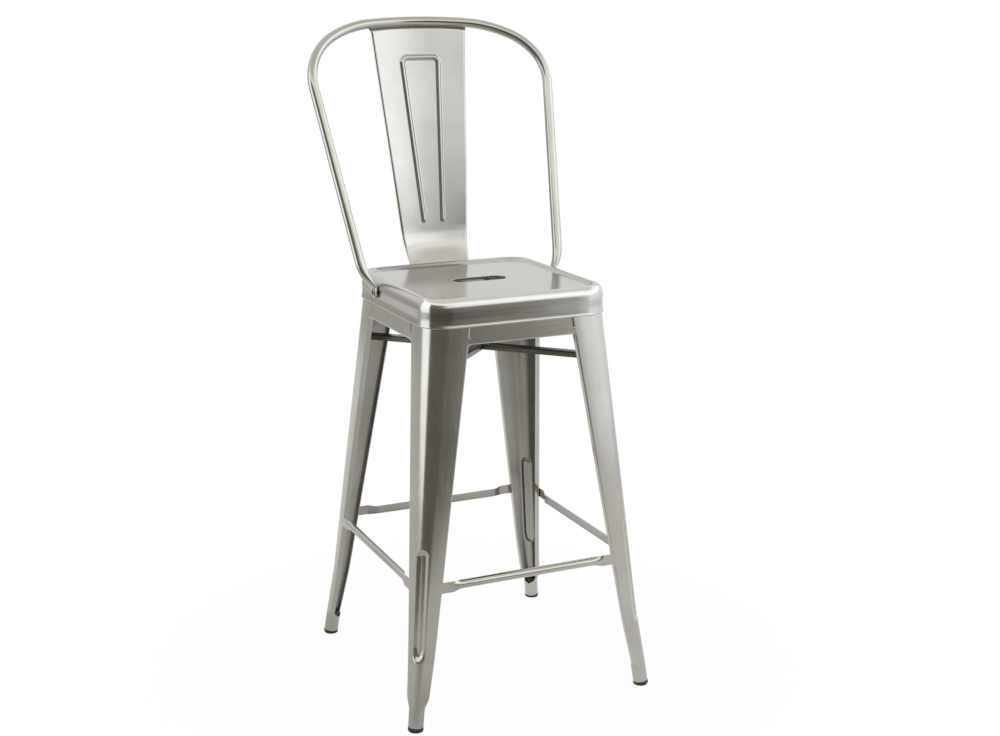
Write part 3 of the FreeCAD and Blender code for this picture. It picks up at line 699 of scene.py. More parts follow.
@dataclass
class SeatPan:
    """Pressed pan: rolled hem, skirt, rounded rim, dished panel and a hand slot with its edge turned down."""

    half_w: float = 155.5
    half_d: float = 158.5
    corner: float = 43.0
    height: float = 660.0
    skirt: float = 40.0
    rim: float = 11.0
    rim_drop: float = 20.0
    dish_start: float = 13.2
    dish_end: float = 22.4
    dish_depth: float = 4.0
    sheet: float = 1.5
    hem: float = 1.5
    hem_height: float = 9.0
    hem_drop: float = 4.4
    hem_round: float = 1.5
    hem_flare: float = math.radians(20)
    hem_taper: float = 1.6
    hem_curl: tuple[tuple[float, float], ...] = ((0.75, 2.2), (0.7, 0.6), (0.4, 0.1))
    hem_overlap: float = 6.0
    slot_half_l: float = 45.0
    slot_half_w: float = 17.0
    slot_round: float = 1.2
    slot_lip: float = 4.6
    slot_flat: float = 1.0
    slot_blend: float = 4.0
    rim_rub: float = 0.9
    panel_rub: float = 0.3
    corner_steps: int = 24
    side_steps: int = 12

    def outline(self, inset: float, z: float) -> Ring:
        """Rounded rectangle of the seat.

        Args:
            inset: how far it is moved in.
            z: its height.

        Returns:
            The ring, from the right-hand side round by the rear.
        """
        cx, cy, radius = self.half_w - self.corner, self.half_d - self.corner, self.corner - inset
        signs = ((1, 1), (-1, 1), (-1, -1), (1, -1))
        ring: Ring = []
        for quarter, (sx, sy) in enumerate(signs):
            for angle in spread(quarter * math.pi / 2, (quarter + 1) * math.pi / 2, self.corner_steps + 1):
                ring.append(Vector((sx * cx + radius * math.cos(angle), sy * cy + radius * math.sin(angle), z)))
            sx, sy = signs[(quarter + 1) % 4]
            start = ring[-1]
            end = Vector((sx * cx + radius * math.cos(angle), sy * cy + radius * math.sin(angle), z))
            ring += [start.lerp(end, k / self.side_steps) for k in range(1, self.side_steps)]
        return ring

    def slot(self, grown: float, z: float) -> Ring:
        """Outline of the hand slot, with a point for each point of the seat's outline.

        Args:
            grown: how far it is moved outwards.
            z: its height.

        Returns:
            The ring.
        """
        radius = self.slot_half_w + grown
        run = self.slot_half_l - self.slot_half_w
        ring: Ring = []
        for point in self.outline(0.0, z):
            angle = math.atan2(self.slot_half_w * point.y / self.half_d,
                               self.slot_half_l * point.x / self.half_w)
            way = Vector((math.cos(angle), math.sin(angle)))
            reach = radius / max(abs(way.y), 1e-9)
            if abs(way.x) * reach > run:
                reach = abs(way.x) * run + math.sqrt(radius ** 2 - (abs(way.y) * run) ** 2)
            ring.append(Vector((way.x * reach, way.y * reach, z)))
        return ring

    def hem_profile(self) -> Profile:
        """Lower edge of the skirt, rolled under and flared.

        Returns:
            Insets and heights, from the hem's inner side up.
        """
        foot = self.height - self.skirt - self.hem_drop
        inner = self.hem_round - self.hem
        profile: Profile = [(inner + aside, foot + rise) for aside, rise in self.hem_curl]
        for angle in spread(-math.pi / 2, self.hem_flare, 10):
            aside, rise = math.cos(angle), 1 + math.sin(angle)
            profile.append((inner - self.hem_round * aside, foot + self.hem_round * rise))
        inset, low = profile[-1]
        for part in (0.12, 0.26, 0.42, 0.6, 0.8):
            z = between(part, 0, 1, low, foot + self.hem_height)
            profile.append((inset * (1 - part) ** self.hem_taper, z))
        return profile

    def skirt_profile(self) -> Profile:
        """Outer face, with points near the ends of its flats to hold the shading.

        Returns:
            Insets and heights, from the hem up to the dished panel.
        """
        foot = self.height - self.skirt
        shoulder = self.height - self.rim_drop
        profile: Profile = [(0.0, foot + self.hem_height), (0.0, foot + 12.0), (0.0, shoulder - 1.0)]
        for angle in spread(0, math.pi / 2, 17):
            profile.append((self.rim * (1 - math.cos(angle)), shoulder + self.rim_drop * math.sin(angle)))
        for part in spread(0, 1, 13):
            profile.append((between(part, 0, 1, self.dish_start, self.dish_end),
                            self.height - self.dish_depth * ease(part)))
        profile.append((self.dish_end + 0.8, self.height - self.dish_depth))
        return profile

    def mesh(self) -> Mesh:
        """Skins the pan from its hem, over the rim and panel, through the slot and back underneath.

        Returns:
            The pan's closed mesh.
        """
        outer = self.skirt_profile()
        panel_z = self.height - self.dish_depth
        rings = [self.outline(inset, z) for inset, z in self.hem_profile() + outer]
        edge = rings[-1]
        wide = self.slot_round + self.slot_flat
        for part in (0.12, 0.35, 0.65, 0.9):
            rings.append([a.lerp(b, part) for a, b in zip(edge, self.slot(wide + self.slot_blend, panel_z))])
        rings.append(self.slot(wide, panel_z))
        shown = len(rings) + 4  # the slot's edge counts as shown half-way down its rounding
        for angle in spread(0, math.pi / 2, 8):
            rings.append(self.slot(self.slot_round * (1 - math.sin(angle)),
                                   panel_z - self.slot_round * (1 - math.cos(angle))))
        lip_z = panel_z - self.slot_lip
        soft, tip = 0.8, 0.2
        lip = ((0.0, lip_z + soft), (tip, lip_z + tip), (self.sheet / 2, lip_z),
               (self.sheet - tip, lip_z + tip), (self.sheet, lip_z + soft),
               (self.sheet, panel_z - self.slot_round - 0.5),
               (self.slot_round + 0.3, panel_z - self.sheet - tip), (wide, panel_z - self.sheet))
        rings += [self.slot(grown, z) for grown, z in lip]
        for inset, z in reversed(outer[2:]):
            share = min(1.0, max(0.0, (z - self.height + self.rim_drop) / self.rim_drop))
            rise = share if inset < self.rim else 1.0
            rings.append(self.outline(inset + self.sheet * (1 - rise), z - self.sheet * rise))
        rings.append(self.outline(self.sheet, self.height - self.skirt + self.hem_overlap))
        wear = [[self.rubbed(ring)] * len(edge) for ring in rings]
        # painted shade: the slot's walls and the pan's underside are marked inner and darkened by the seat's
        # finish
        inner = [[0.0 if index < shown else 1.0] * len(edge) for index in range(len(rings))]
        return mesh_of("seat_pan_pressing", rings, looped=True, marks={"wear": wear, "inner": inner})

    def rubbed(self, ring: Ring) -> float:
        """How bare a ring of the pan is rubbed: most at the rim."""
        worn = self.rim_rub if abs(ring[0].x) > self.half_w - self.rim else self.panel_rub
        return worn * ease((ring[0].z - self.height + self.rim_drop) / self.rim_drop)

    def build(self, finishes: Finishes) -> None:
        """Makes the pan and gives it its finish."""
        put("seat_pan_pressing", self.mesh(), finishes.seat, Slot.SEAT, ["seat_pan"])


@dataclass
class Leg:
    """Tapered leg of folded sheet: a rounded outer corner, two faces, and lips along the free edges."""

    form: FrameForm
    groove_top: float = 283.0
    groove_bottom: float = 108.0
    groove_half: float = 11.5
    groove_depth: float = 4.3
    groove_slope: float = 0.72
    end_slope: float = 1.0
    end_length: float = 24.0
    end_fade: float = 18.0
    # paler rub along the free edge's fold: wear, and also a painted highlight
    fold_rub: float = 0.25
    face_turn: float = math.radians(5)
    turn_z: float = 260.0
    fold_steps: int = 10
    corner_steps: int = 22

    def levels(self) -> list[float]:
        """Heights of the leg's sections, close together over the groove and the bends.

        Returns:
            Heights from the lowest up.
        """
        low, shoulder, skirt = self.form.end_z, self.form.shoulder_z, self.form.skirt_z
        foot, head = self.groove_bottom, self.groove_top
        heights = stacked((low, low + 9, 16), (low + 10, shoulder + 4, 12), (shoulder + 8, foot - 6, 9),
                          (foot - 3, foot + 30, 34), (foot + 36, head - 20, 18), (head - 15, head + 4, 17),
                          (head + 15, skirt - 8, 20))
        return heights + [skirt + d for d in (-4, -2, -1, 0, 1, 2, 4)] + [self.form.top_z]

    def half_section(self, z: float) -> list[tuple[Vector, Vector, float]]:
        """Outer path from a lip's edge to the middle of the corner.

        Args:
            z: height.

        Returns:
            For each point, its place along and out of the face, its normal, and how rubbed it is, which along
            the fold is also a painted highlight.
        """
        form = self.form
        face, lip, radius, fold = form.face(z), form.lip(z), form.corner(z), form.fold(z)
        path: list[tuple[Vector, Vector, float]] = []
        turn = form.closing(z)
        way = Vector((-math.cos(turn), -math.sin(turn)))
        for part in (0.0, 0.5, 0.95):
            at = Vector((fold, -fold)) + way * fold + Vector((-way.y, way.x)) * (lip - fold) * (1 - part)
            path.append((at, way, 0.0))
        for angle in spread(-turn, math.pi / 2, self.fold_steps + 1):
            way = Vector((-math.cos(angle), math.sin(angle)))
            # painted highlight: the fold is rubbed paler, less so where it wraps round the foot tube
            path.append((Vector((fold, -fold)) + way * fold, way, self.fold_rub * (1 - form.wrap(z))))
        bend = self.face_turn * ease((z - form.wrap_z) / (self.turn_z - form.wrap_z))
        share = math.tan(bend) / (2 + math.tan(bend))
        short = math.cos(bend) - math.sin(bend)
        radius = ((radius * (1 - DIAGONAL) - share * (face - fold))
                  / (math.cos(bend) - DIAGONAL - share * short))
        drop = share * (face - fold - radius * short)
        centre = Vector((face - radius * math.cos(bend) - drop, -radius * math.cos(bend) - drop))
        flat = centre.x + radius * math.sin(bend) - fold
        for part in SUPPORTED:
            way = Vector((math.sin(bend * part), math.cos(bend * part)))
            path.append((Vector((fold + flat * part, -drop * part ** 2)), way, 0.0))
        for angle in spread(bend, math.pi / 4, self.corner_steps + 1):
            way = Vector((math.sin(angle), math.cos(angle)))
            path.append((centre + way * radius, way, 0.0))
        return path

    def pressed(self, across: float, z: float) -> float:
        """Depth of the groove, which has a softer slope at its lower end.

        Args:
            across: distance across the corner.
            z: height.

        Returns:
            The depth there.
        """
        low, high = self.groove_bottom + self.groove_half, self.groove_top - self.groove_half
        beyond = max(low - z, z - high, 0.0)
        near_end = ease((self.groove_bottom + self.end_length - z) / self.end_fade)
        slope = between(near_end, 0, 1, self.groove_slope, self.end_slope)
        return self.groove_depth * ease((1 - math.hypot(across, beyond) / self.groove_half) / slope)

    def section(self, z: float) -> tuple[Ring, list[float]]:
        """Closed section through the sheet.

        Args:
            z: height.

        Returns:
            The ring, and how rubbed each of its points is, which along the folds is also a painted highlight.
        """
        form = self.form
        hx, hy, face = form.half_x(z), form.half_y(z), form.face(z)
        half = self.half_section(z)
        outer: list[tuple[Vector, Vector, float]] = []
        for at, way, rub_and_highlight in half:
            outer.append((Vector((hx - face + at.x, hy + at.y)), Vector((way.x, way.y)), rub_and_highlight))
        for at, way, rub_and_highlight in reversed(half[:-1]):
            outer.append((Vector((hx + at.y, hy - face + at.x)), Vector((way.y, way.x)), rub_and_highlight))
        ring: Ring = []
        for offset, run in ((0.0, outer), (form.sheet, outer[::-1])):
            for at, way, _ in run:
                point = at - way * offset
                across = ((point.x - hx) - (point.y - hy)) * DIAGONAL
                depth = self.pressed(across, z) if abs(across) < self.groove_half else 0.0
                ring.append(Vector((point.x - depth * DIAGONAL, point.y - depth * DIAGONAL, z)))
        rubs_and_highlights = [rub_and_highlight for _, _, rub_and_highlight in outer]
        return ring, rubs_and_highlights + [0.0] * len(rubs_and_highlights)

    def build(self, finishes: Finishes) -> None:
        """Makes the four legs.

        Args:
            finishes: the stool's finishes.
        """
        sections = [self.section(z) for z in self.levels()]
        # painted shade on the legs' inner faces through the inner mark; the wear mark carries the folds' rub
        # and painted highlight
        marks = {"wear": [rub_and_highlight for _, rub_and_highlight in sections], "inner": inside([ring for ring, _ in sections])}
        for corner in Corner:
            rings = [corner.place(ring) for ring, _ in sections]
            put_sheet(f"{corner.label}_leg_sheet", rings, finishes.upright, Slot.FRAME, f"{corner.label}_leg",
                      marks)


@dataclass
class Foot:
    """Short tube welded to the leg's end, with a rubber plug that stands out at both of its ends."""

    form: FrameForm
    wall: float = 1.8
    start: float = 6.0
    pad_r: float = 12.3
    pad_edge: float = 3.0
    flat_r: float = 6.5
    neck_r: float = 9.9
    tip_r: float = 9.3
    neck_height: float = 10.0
    neck_lift: float = 0.17
    pad_round: float = 6.0
    play: float = 0.15
    steps: int = 64

    def ring(self, radius: float, along: float, level: float | None = None) -> Ring:
        """Ring round the foot's axis.

        Args:
            radius: the ring's radius.
            along: its place along the axis, from the floor.
            level: height that the ring is cut at, instead of square to the axis.

        Returns:
            The ring in the corner where X and Y are positive, no lower than the floor.
        """
        axis = self.form.foot_axis()
        aside = UP.cross(axis).normalized()
        ahead = axis.cross(aside)
        base = Vector((self.form.foot_half_x, self.form.foot_half_y, 0.0))
        points: Ring = []
        for angle in around(self.steps):
            way = aside * math.cos(angle) + ahead * math.sin(angle)
            out = way * radius
            reach = along if level is None else (level - out.z) / axis.z
            point = base + out + axis * reach
            points.append(Vector((point.x, point.y, max(point.z, 0.0))))
        return points

    def tube_rings(self) -> list[Ring]:
        """Rings of the tube, its lower edge square and its upper edge level.

        Returns:
            The rings in the corner where X and Y are positive.
        """
        outer, inner = self.form.tube_r, self.form.tube_r - self.wall
        top = self.form.end_z
        soft = 0.5
        low = [(inner + soft, 0.0), (outer - soft, 0.0), (outer - 0.15, 0.15), (outer, soft), (outer, 3.0)]
        rings = [self.ring(radius, self.start + rise) for radius, rise in low]
        rings += [self.ring(radius, 0.0, top - drop)
                  for radius, drop in ((outer, 4.0), (outer, 0.0), (inner, 0.0), (inner, 2.0))]
        rings += [self.ring(inner, self.start + rise) for rise in (3.0, soft)]
        return rings

    def plug_rings(self) -> list[Ring]:
        """Rings of the rubber plug.

        Returns:
            The rings from the floor to its tip above the tube.
        """
        shank = self.form.tube_r - self.wall - self.play
        neck = self.form.end_z + self.form.tube_r * self.neck_lift
        centre_r = self.pad_r - self.pad_round
        profile: Profile = [(radius, -self.pad_edge) for radius in (0.3, self.flat_r * 0.6, self.flat_r)]
        for angle in spread(math.radians(-80), 0, 10):
            profile.append((centre_r + self.pad_round * math.cos(angle),
                            self.pad_edge + self.pad_round * math.sin(angle)))
        top = self.start
        profile += [(self.pad_r, top - 0.8), (self.pad_r - 0.25, top - 0.25), (self.pad_r - 0.8, top - 0.02),
                    (shank + 0.3, top - 0.02), (shank, top + 0.4), (shank, neck - 0.8), (shank - 0.8, neck),
                    (self.neck_r + 0.4, neck), (self.neck_r, neck + 0.4)]
        tip = neck + self.neck_height
        profile += [(self.tip_r, tip - 2.0), (self.tip_r - 0.5, tip - 0.6), (self.tip_r - 1.6, tip),
                    (self.tip_r * 0.5, tip), (0.3, tip)]
        return [self.ring(radius, along) for radius, along in profile]

    def build(self, finishes: Finishes) -> None:
        """Makes the four foot tubes and their plugs.

        Args:
            finishes: the stool's finishes.
        """
        for corner in Corner:
            rings = [corner.place(ring) for ring in self.tube_rings()]
            put(f"{corner.label}_foot_sleeve", mesh_of("foot_sleeve", rings, looped=True), finishes.upright,
                Slot.FRAME, [f"{corner.label}_foot_tube"])
            rings = [corner.place(ring) for ring in self.plug_rings()]
            put(f"{corner.label}_foot_plug", mesh_of("foot_plug", rings, capped=True), finishes.rubber,
                Slot.RUBBER, [f"{corner.label}_foot_pad"])


def turned(points: Ring, side: Side) -> Ring:
    """Points made at the rear, turned to a side."""
    turn = Matrix.Rotation(math.radians(side.value), 3, "Z")
    return [turn @ p for p in points]


@dataclass
class Apron:
    """Band between two legs under the skirt, slit beside each leg and rounded into the legs below."""

    form: FrameForm
    drop: float = 31.0
    fillet: float = 6.5
    slit_gap: float = 1.7
    slit_flange: float = 6.0
    slit_drop: float = 20.0
    lip: float = 7.5
    end_turn: float = 0.6
    fold_steps: int = 5

    def edge(self, side: Side, z: float) -> float:
        """Distance from the middle to a leg's free edge at height z."""
        return self.form.run_half(side)(z) - self.form.face(z)

    def reach(self, side: Side, z: float) -> float:
        """Half the band's width at height z: up to the leg's face, or short of its edge at the slit."""
        slit_z = self.form.skirt_z - self.slit_drop
        return self.edge(side, z) + (-self.slit_gap if z > slit_z else self.form.fold_r)

    def lower_edge(self, side: Side) -> list[tuple[float, float, Vector]]:
        """Right half of the lower edge, from the middle to the leg.

        Args:
            side: side of the stool.

        Returns:
            For each point its distance from the middle, its height, and the way out of the sheet there.
        """
        low = self.form.skirt_z - self.drop
        corner_x = self.edge(side, low)
        fall = Vector((self.edge(side, low - self.fillet) - corner_x, -self.fillet)).normalized()
        opening = math.acos(-fall.x)
        reach = self.fillet / math.tan(opening / 2)
        centre = Vector((corner_x - reach, low - self.fillet))
        points = [(x, low, Vector((0, -1))) for x in spread(0, corner_x - reach, 12)[:-1]]
        turn = math.pi - opening
        for angle in spread(0, turn, 12):
            out = Vector((math.sin(angle), math.cos(angle)))
            at = centre + out * self.fillet
            points.append((at.x, at.y, -out))
        return points

    def grid(self, side: Side) -> list[Ring]:
        """Rows of points over the band's outer face and its turned-in ends.

        Args:
            side: side of the stool.

        Returns:
            The rows, from the skirt down and round the turned-in lip, at the rear.
        """
        form = self.form
        out_half = form.out_half(side)
        slit_z = form.skirt_z - self.slit_drop
        right = self.lower_edge(side)
        edge = [(-x, z, Vector((-way.x, way.y))) for x, z, way in reversed(right[1:])] + right
        heights = [form.top_z, form.skirt_z + 3, form.skirt_z, form.skirt_z - 3,
                   slit_z + 6, slit_z + 0.3, slit_z - 0.3]
        fold = form.fold_r
        rows: list[Ring] = []
        for z in heights:
            rows.append([Vector((x / edge[-1][0] * self.reach(side, z), out_half(z), z)) for x, _, _ in edge])
        last = [(Vector((x, low)) - way * fold, way) for x, low, way in edge]
        for part in (0.4, 0.8, 1.0):
            row = []
            for j, (at, _) in enumerate(last):
                start = rows[len(heights) - 1][j]
                x, z = between(part, 0, 1, start.x, at.x), between(part, 0, 1, start.z, at.y)
                row.append(Vector((x, out_half(z), z)))
            rows.append(row)
        for angle in spread(0, math.pi / 2, self.fold_steps + 1)[1:]:
            rows.append([Vector((p.x, out_half(p.y), p.y)) - Vector((0, fold * (1 - math.cos(angle)), 0))
                         for p in (at + way * fold * math.sin(angle) for at, way in last)])
        for depth in (fold + 0.5, self.lip):
            rows.append([Vector((p.x, out_half(p.y) - depth, p.y))
                         for p in (at + way * fold for at, way in last)])
        flanges = [self.slit_flange if i < len(heights) - 1 else self.end_turn for i in range(len(rows))]
        return [self.flanged(row, flange) for row, flange in zip(rows, flanges)]

    @staticmethod
    def flanged(row: Ring, depth: float) -> Ring:
        """A row with both of its ends turned inwards by a depth."""
        first, last = ([Vector((end.x, end.y - depth * part, end.z)) for part in (1.0, 0.5, 0.1)]
                       for end in (row[0], row[-1]))
        return first + row + last[::-1]

    def build(self, finishes: Finishes) -> None:
        """Makes the four aprons.

        Args:
            finishes: the stool's finishes.
        """
        for side in Side:
            rings = [turned(ring, side) for ring in walled(self.grid(side), self.form.sheet)]
            put_sheet(f"{side.label}_apron_band", rings, finishes.side(side), Slot.FRAME,
                      f"{side.label}_apron")


@dataclass
class Rung:
    """Foot rail: flat tabs welded flush with the legs, and a half-round pressed stretch between them."""

    form: FrameForm
    bottom: float = 213.0
    height: float = 17.0
    sheet: float = 2.0
    tab: float = 15.0
    morph: float = 21.0
    round_r: float = 6.9
    hollow: float = 1.0
    back_drop: float = 1.6
    least_sheet: float = 0.4
    arc_steps: int = 20

    def section(self, rounded: float) -> list[Vector]:
        """Outer path of the rail's section.

        Args:
            rounded: its form, from flat (0) to half-round (1).

        Returns:
            Depth and height of each point.
        """
        path = []
        middle = self.height / 2
        for part in spread(-1, 1, self.arc_steps + 1):
            angle = part * math.pi / 2
            flat = Vector((0.0, middle * (1 + part)))
            bead = Vector((self.round_r * (1 - math.cos(angle)), middle + self.round_r * math.sin(angle)))
            path.append(flat.lerp(bead, rounded))
        return path

    def rings(self, side: Side) -> list[Ring]:
        """Closed sections along a rung, from one leg to the other.

        Args:
            side: side of the stool.

        Returns:
            Rings through both faces.
        """
        form, top = self.form, self.bottom + self.height
        run_half, out_half = form.run_half(side), form.out_half(side)
        base = Vector((0, out_half(self.bottom), self.bottom))
        rise = Vector((0, out_half(top) - base.y, self.height)).normalized()
        inwards = Vector((1, 0, 0)).cross(rise)
        low, high = (run_half(z) - form.face(z) + form.fold_r for z in (self.bottom, top))
        tab_end = high - form.fold_r - self.tab
        stations = [(0.0, share, tab_end) for share in spread(0, 1, 4)[:-1]]
        stations += [(ease(share), 1.0, tab_end - self.morph * share) for share in spread(0, 1, 15)]
        stations += [(1.0, 1.0, (tab_end - self.morph) * (1 - share)) for share in (0.05, 0.3, 0.6)]
        half: list[Ring] = []
        for rounded, share, x in stations:
            row: Ring = []
            for at in self.section(rounded):
                edge = between(at.y, 0, self.height, low, high)
                row.append(Vector((between(share, 0, 1, edge, x), 0, 0)) + base + inwards * at.x + rise * at.y)
            half.append(row)
        middle = [Vector((0, p.y, p.z)) for p in half[-1]]
        rings = []
        for row in half + [middle] + [[Vector((-p.x, p.y, p.z)) for p in row] for row in reversed(half)]:
            depths = [(p - base).dot(inwards) for p in row]
            deepest = max(depths) + self.sheet - self.back_drop
            back = []
            for p, depth, part in zip(row, depths, spread(-1, 1, len(row))):
                reach = max(depth + self.least_sheet, deepest - self.hollow * (1 - part ** 2))
                back.append(p + inwards * (reach - depth))
            rings.append(turned(row + back[::-1], side))
        return rings

    def build(self, finishes: Finishes) -> None:
        """Makes the four rungs.

        Args:
            finishes: the stool's finishes.
        """
        for side in Side:
            rings = self.rings(side)
            # painted shade: the rail's back face is marked inner and darkened by its finish
            put_sheet(f"{side.label}_rung_rail", rings, finishes.rung(side), Slot.FRAME, f"{side.label}_rung",
                      {"inner": inside(rings)})


@dataclass
class CrossBrace:
    """Two channel bars under the seat, from leg to leg along the diagonals, one of them in two halves."""

    form: FrameForm
    top: float = 551.0
    width: float = 18.0
    wall: float = 9.0
    sheet: float = 1.5
    fold: float = 2.4
    fold_support: float = 0.6
    clearance: float = 0.8
    joint_gap: float = 0.1

    def bar(self, start: float, end: float, side: int) -> list[Ring]:
        """Rings of a bar along one diagonal.

        Args:
            start: distance of one end from the middle.
            end: distance of the other end.
            side: sign of Y where X is positive.

        Returns:
            Closed rings through the channel's sheet.
        """
        reach = Vector((self.form.half_x(self.top), side * self.form.half_y(self.top), 0)).normalized()
        aside = UP.cross(reach)
        half = self.width / 2
        path: list[Vector] = [Vector((-half, -self.wall)), Vector((-half, -self.wall * 0.6))]
        for angle in spread(0, math.pi / 2, 6):
            path.append(Vector((-half + self.fold * (1 - math.cos(angle)), -self.fold * (1 - math.sin(angle)))))
        path += [Vector((-half + self.fold + self.fold_support, 0))]
        path += [Vector((-p.x, p.y)) for p in reversed(path)]
        grid = []
        for along in spread(start, end, 9):
            grid.append([reach * along + aside * p.x + UP * (self.top + p.y) for p in path])
        return walled(grid, -self.sheet)

    def build(self, finishes: Finishes) -> None:
        """Makes the long bar and the two halves of the other.

        Args:
            finishes: the stool's finishes.
        """
        radius = self.form.corner(self.top)
        inset = radius * (1 - DIAGONAL) + self.form.sheet * DIAGONAL
        reach = math.hypot(self.form.half_x(self.top) - inset, self.form.half_y(self.top) - inset)
        reach -= self.clearance
        gap = self.width / 2 + self.joint_gap
        bars = (("cross_brace", "cross_brace_bar", -reach, reach, -1),
                ("cross_brace_rear_right", "cross_brace_rear_half", gap, reach, 1),
                ("cross_brace_front_left", "cross_brace_front_half", -reach, -gap, 1))
        for node, name, start, end, side in bars:
            # painted shade: the bars get the darker brace finish for the shade under the seat
            put_sheet(name, self.bar(start, end, side), finishes.mill, Slot.FRAME, node)


@dataclass
class BackHoop:
    """Bent tube that leans back, with flattened ends bolted to the seat's sides."""

    tube_r: float = 8.0
    lean: float = math.radians(21.9)
    base_y: float = 51.0
    base_z: float = 632.0
    base_half: float = 170.6
    side_half: float = 210.0
    side_length: float = 345.0
    length: float = 456.0
    bow: float = 36.0
    power: float = 2.70
    joint_length: float = 58.0
    joint_pull: float = 1.8
    flat_pull: float = 0.4
    tab_half: float = 10.0
    tab_thickness: float = 5.0
    tab_length: float = 4.0
    tab_power: float = 0.68
    bolt_y: float = 56.0
    bolt_z: float = 637.5
    seat_half: float = 155.5
    steps: int = 40

    def point(self, half: float, length: float, back: float) -> Vector:
        """Point on the leaning plane: half width, length along the lean and bow backwards."""
        return Vector((half, self.base_y + length * math.sin(self.lean) + back,
                       self.base_z + length * math.cos(self.lean)))

    def crown(self, angle: float) -> Vector:
        """Point on the crown.

        Args:
            angle: 0 at a side's top, a right angle at the top rail's middle.

        Returns:
            The point on the tube's axis, on the right.
        """
        half = self.side_half * abs(math.cos(angle)) ** (2 / self.power)
        length = self.side_length + (self.length - self.side_length) * math.sin(angle) ** (2 / self.power)
        return self.point(half, length, self.bow * (1 - (half / self.side_half) ** 2))

    def above(self, x: float) -> Vector:
        """Point on the top rail at a distance from the middle, on the right."""
        return self.crown(math.acos((abs(x) / self.side_half) ** (self.power / 2)))

    @staticmethod
    def arc(start: Vector, way: Vector, end: Vector, count: int) -> Ring:
        """Circular arc that leaves a point along a direction.

        Args:
            start: the arc's start.
            way: unit vector along the arc there.
            end: the arc's end.
            count: how many points it gets.

        Returns:
            The points after start.
        """
        chord = end - start
        turn = way.angle(chord)
        aside = (chord - way * chord.dot(way)).normalized()
        radius = chord.length / (2 * math.sin(turn))
        return [start + way * radius * math.sin(a) + aside * radius * (1 - math.cos(a))
                for a in spread(0, 2 * turn, count + 1)[1:]]

    def biarc(self, start: Vector, start_way: Vector, end: Vector, end_way: Vector, count: int) -> Ring:
        """Two arcs that join smoothly and keep the given directions at their ends.

        Args:
            start: start of the first arc.
            start_way: unit vector along it there.
            end: end of the second arc.
            end_way: unit vector along it there.
            count: how many points each arc gets.

        Returns:
            The points after start.
        """
        chord = end - start
        both = chord.dot(start_way + end_way)
        turn = 2 * (1 - start_way.dot(end_way))
        reach = (math.sqrt(both ** 2 + turn * chord.dot(chord)) - both) / turn
        joint = (start + end + (start_way - end_way) * reach) * 0.5
        second = self.arc(end, -end_way, joint, count)
        return self.arc(start, start_way, joint, count) + second[-2::-1] + [end]

    def side_way(self) -> Vector:
        """Direction up the right-hand side."""
        return (self.point(self.side_half, self.side_length, 0) - self.point(self.base_half, 0, 0)).normalized()

    def stations(self) -> list[tuple[Vector, float, float, float]]:
        """Right half of the tube, from its flattened end to the top rail's middle.

        Returns:
            For each station its centre, half width, half thickness, and how square its section is.
        """
        lean = Vector((0, math.sin(self.lean), math.cos(self.lean)))
        bolt = Vector((self.seat_half + self.tab_thickness / 2, self.bolt_y, self.bolt_z))
        thin = self.tab_thickness / 2
        rows: list[tuple[Vector, float, float, float]] = []
        for angle in (6, 14, 24, 36, 50, 66, 82):
            turn = math.radians(angle)
            soft = min(1.0, 0.35 + angle / 30)  # the flattened end thins out towards its rim
            rows.append((bolt - lean * self.tab_half * math.cos(turn), self.tab_half * math.sin(turn),
                         thin * soft, 1.0))
        flat_top = bolt + lean * self.tab_length
        for part in (0.0, 0.4, 0.8):
            rows.append((bolt.lerp(flat_top, part), self.tab_half, thin, 1.0))
        way = self.side_way()
        joint = self.point(self.base_half, 0, 0) + way * self.joint_length
        pull = (joint - flat_top).length
        for part in spread(0, 1, 22):
            h0, h1 = 2 * part ** 3 - 3 * part ** 2 + 1, part ** 3 - 2 * part ** 2 + part
            h2, h3 = -2 * part ** 3 + 3 * part ** 2, part ** 3 - part ** 2
            at = (flat_top * h0 + lean * pull * self.flat_pull * h1
                  + joint * h2 + way * pull * self.joint_pull * h3)
            grow = ease(part)
            rows.append((at, between(grow, 0, 1, self.tab_half, self.tube_r),
                         between(grow, 0, 1, thin, self.tube_r), 1 - ease(part * 2.2)))
        shoulder = self.point(self.side_half, self.side_length, 0)
        path = [joint.lerp(shoulder, part) for part in (0.02, 0.1, 0.3, 0.5, 0.7, 0.9, 0.98, 1.0)]
        small = math.radians(1)
        quarter = self.crown(math.pi / 4)
        quarter_way = (self.crown(math.pi / 4 + small) - self.crown(math.pi / 4 - small)).normalized()
        path += self.biarc(shoulder, way, quarter, quarter_way, 12)
        path += self.biarc(quarter, quarter_way, self.crown(math.pi / 2), Vector((-1, 0, 0)), 16)
        rows += [(at, self.tube_r, self.tube_r, 0.0) for at in path]
        return rows

    def mesh(self) -> Mesh:
        """Skins the whole hoop.

        Returns:
            The hoop's closed mesh.
        """
        right = self.stations()
        left = [(Vector((-at.x, at.y, at.z)), *rest) for at, *rest in reversed(right[:-1])]
        rows = right + left
        across = Vector((0, math.cos(self.lean), -math.sin(self.lean)))
        rings = []
        for i, (at, wide, thick, square) in enumerate(rows):
            way = (rows[min(i + 1, len(rows) - 1)][0] - rows[max(i - 1, 0)][0]).normalized()
            broad = (across - way * across.dot(way)).normalized()
            deep = way.cross(broad)
            power = between(square, 0, 1, 1.0, self.tab_power)
            ring: Ring = []
            for angle in around(self.steps):
                c, s = math.cos(angle), math.sin(angle)
                u = math.copysign(abs(c) ** power, c) if square else c
                v = math.copysign(abs(s) ** power, s) if square else s
                ring.append(at + broad * wide * u + deep * thick * v)
            rings.append(ring)
        return mesh_of("back_hoop_tube", rings, capped=True)

    def build(self, finishes: Finishes) -> None:
        """Makes the hoop."""
        put("back_hoop_tube", self.mesh(), finishes.rail, Slot.BACK, ["back_hoop"])


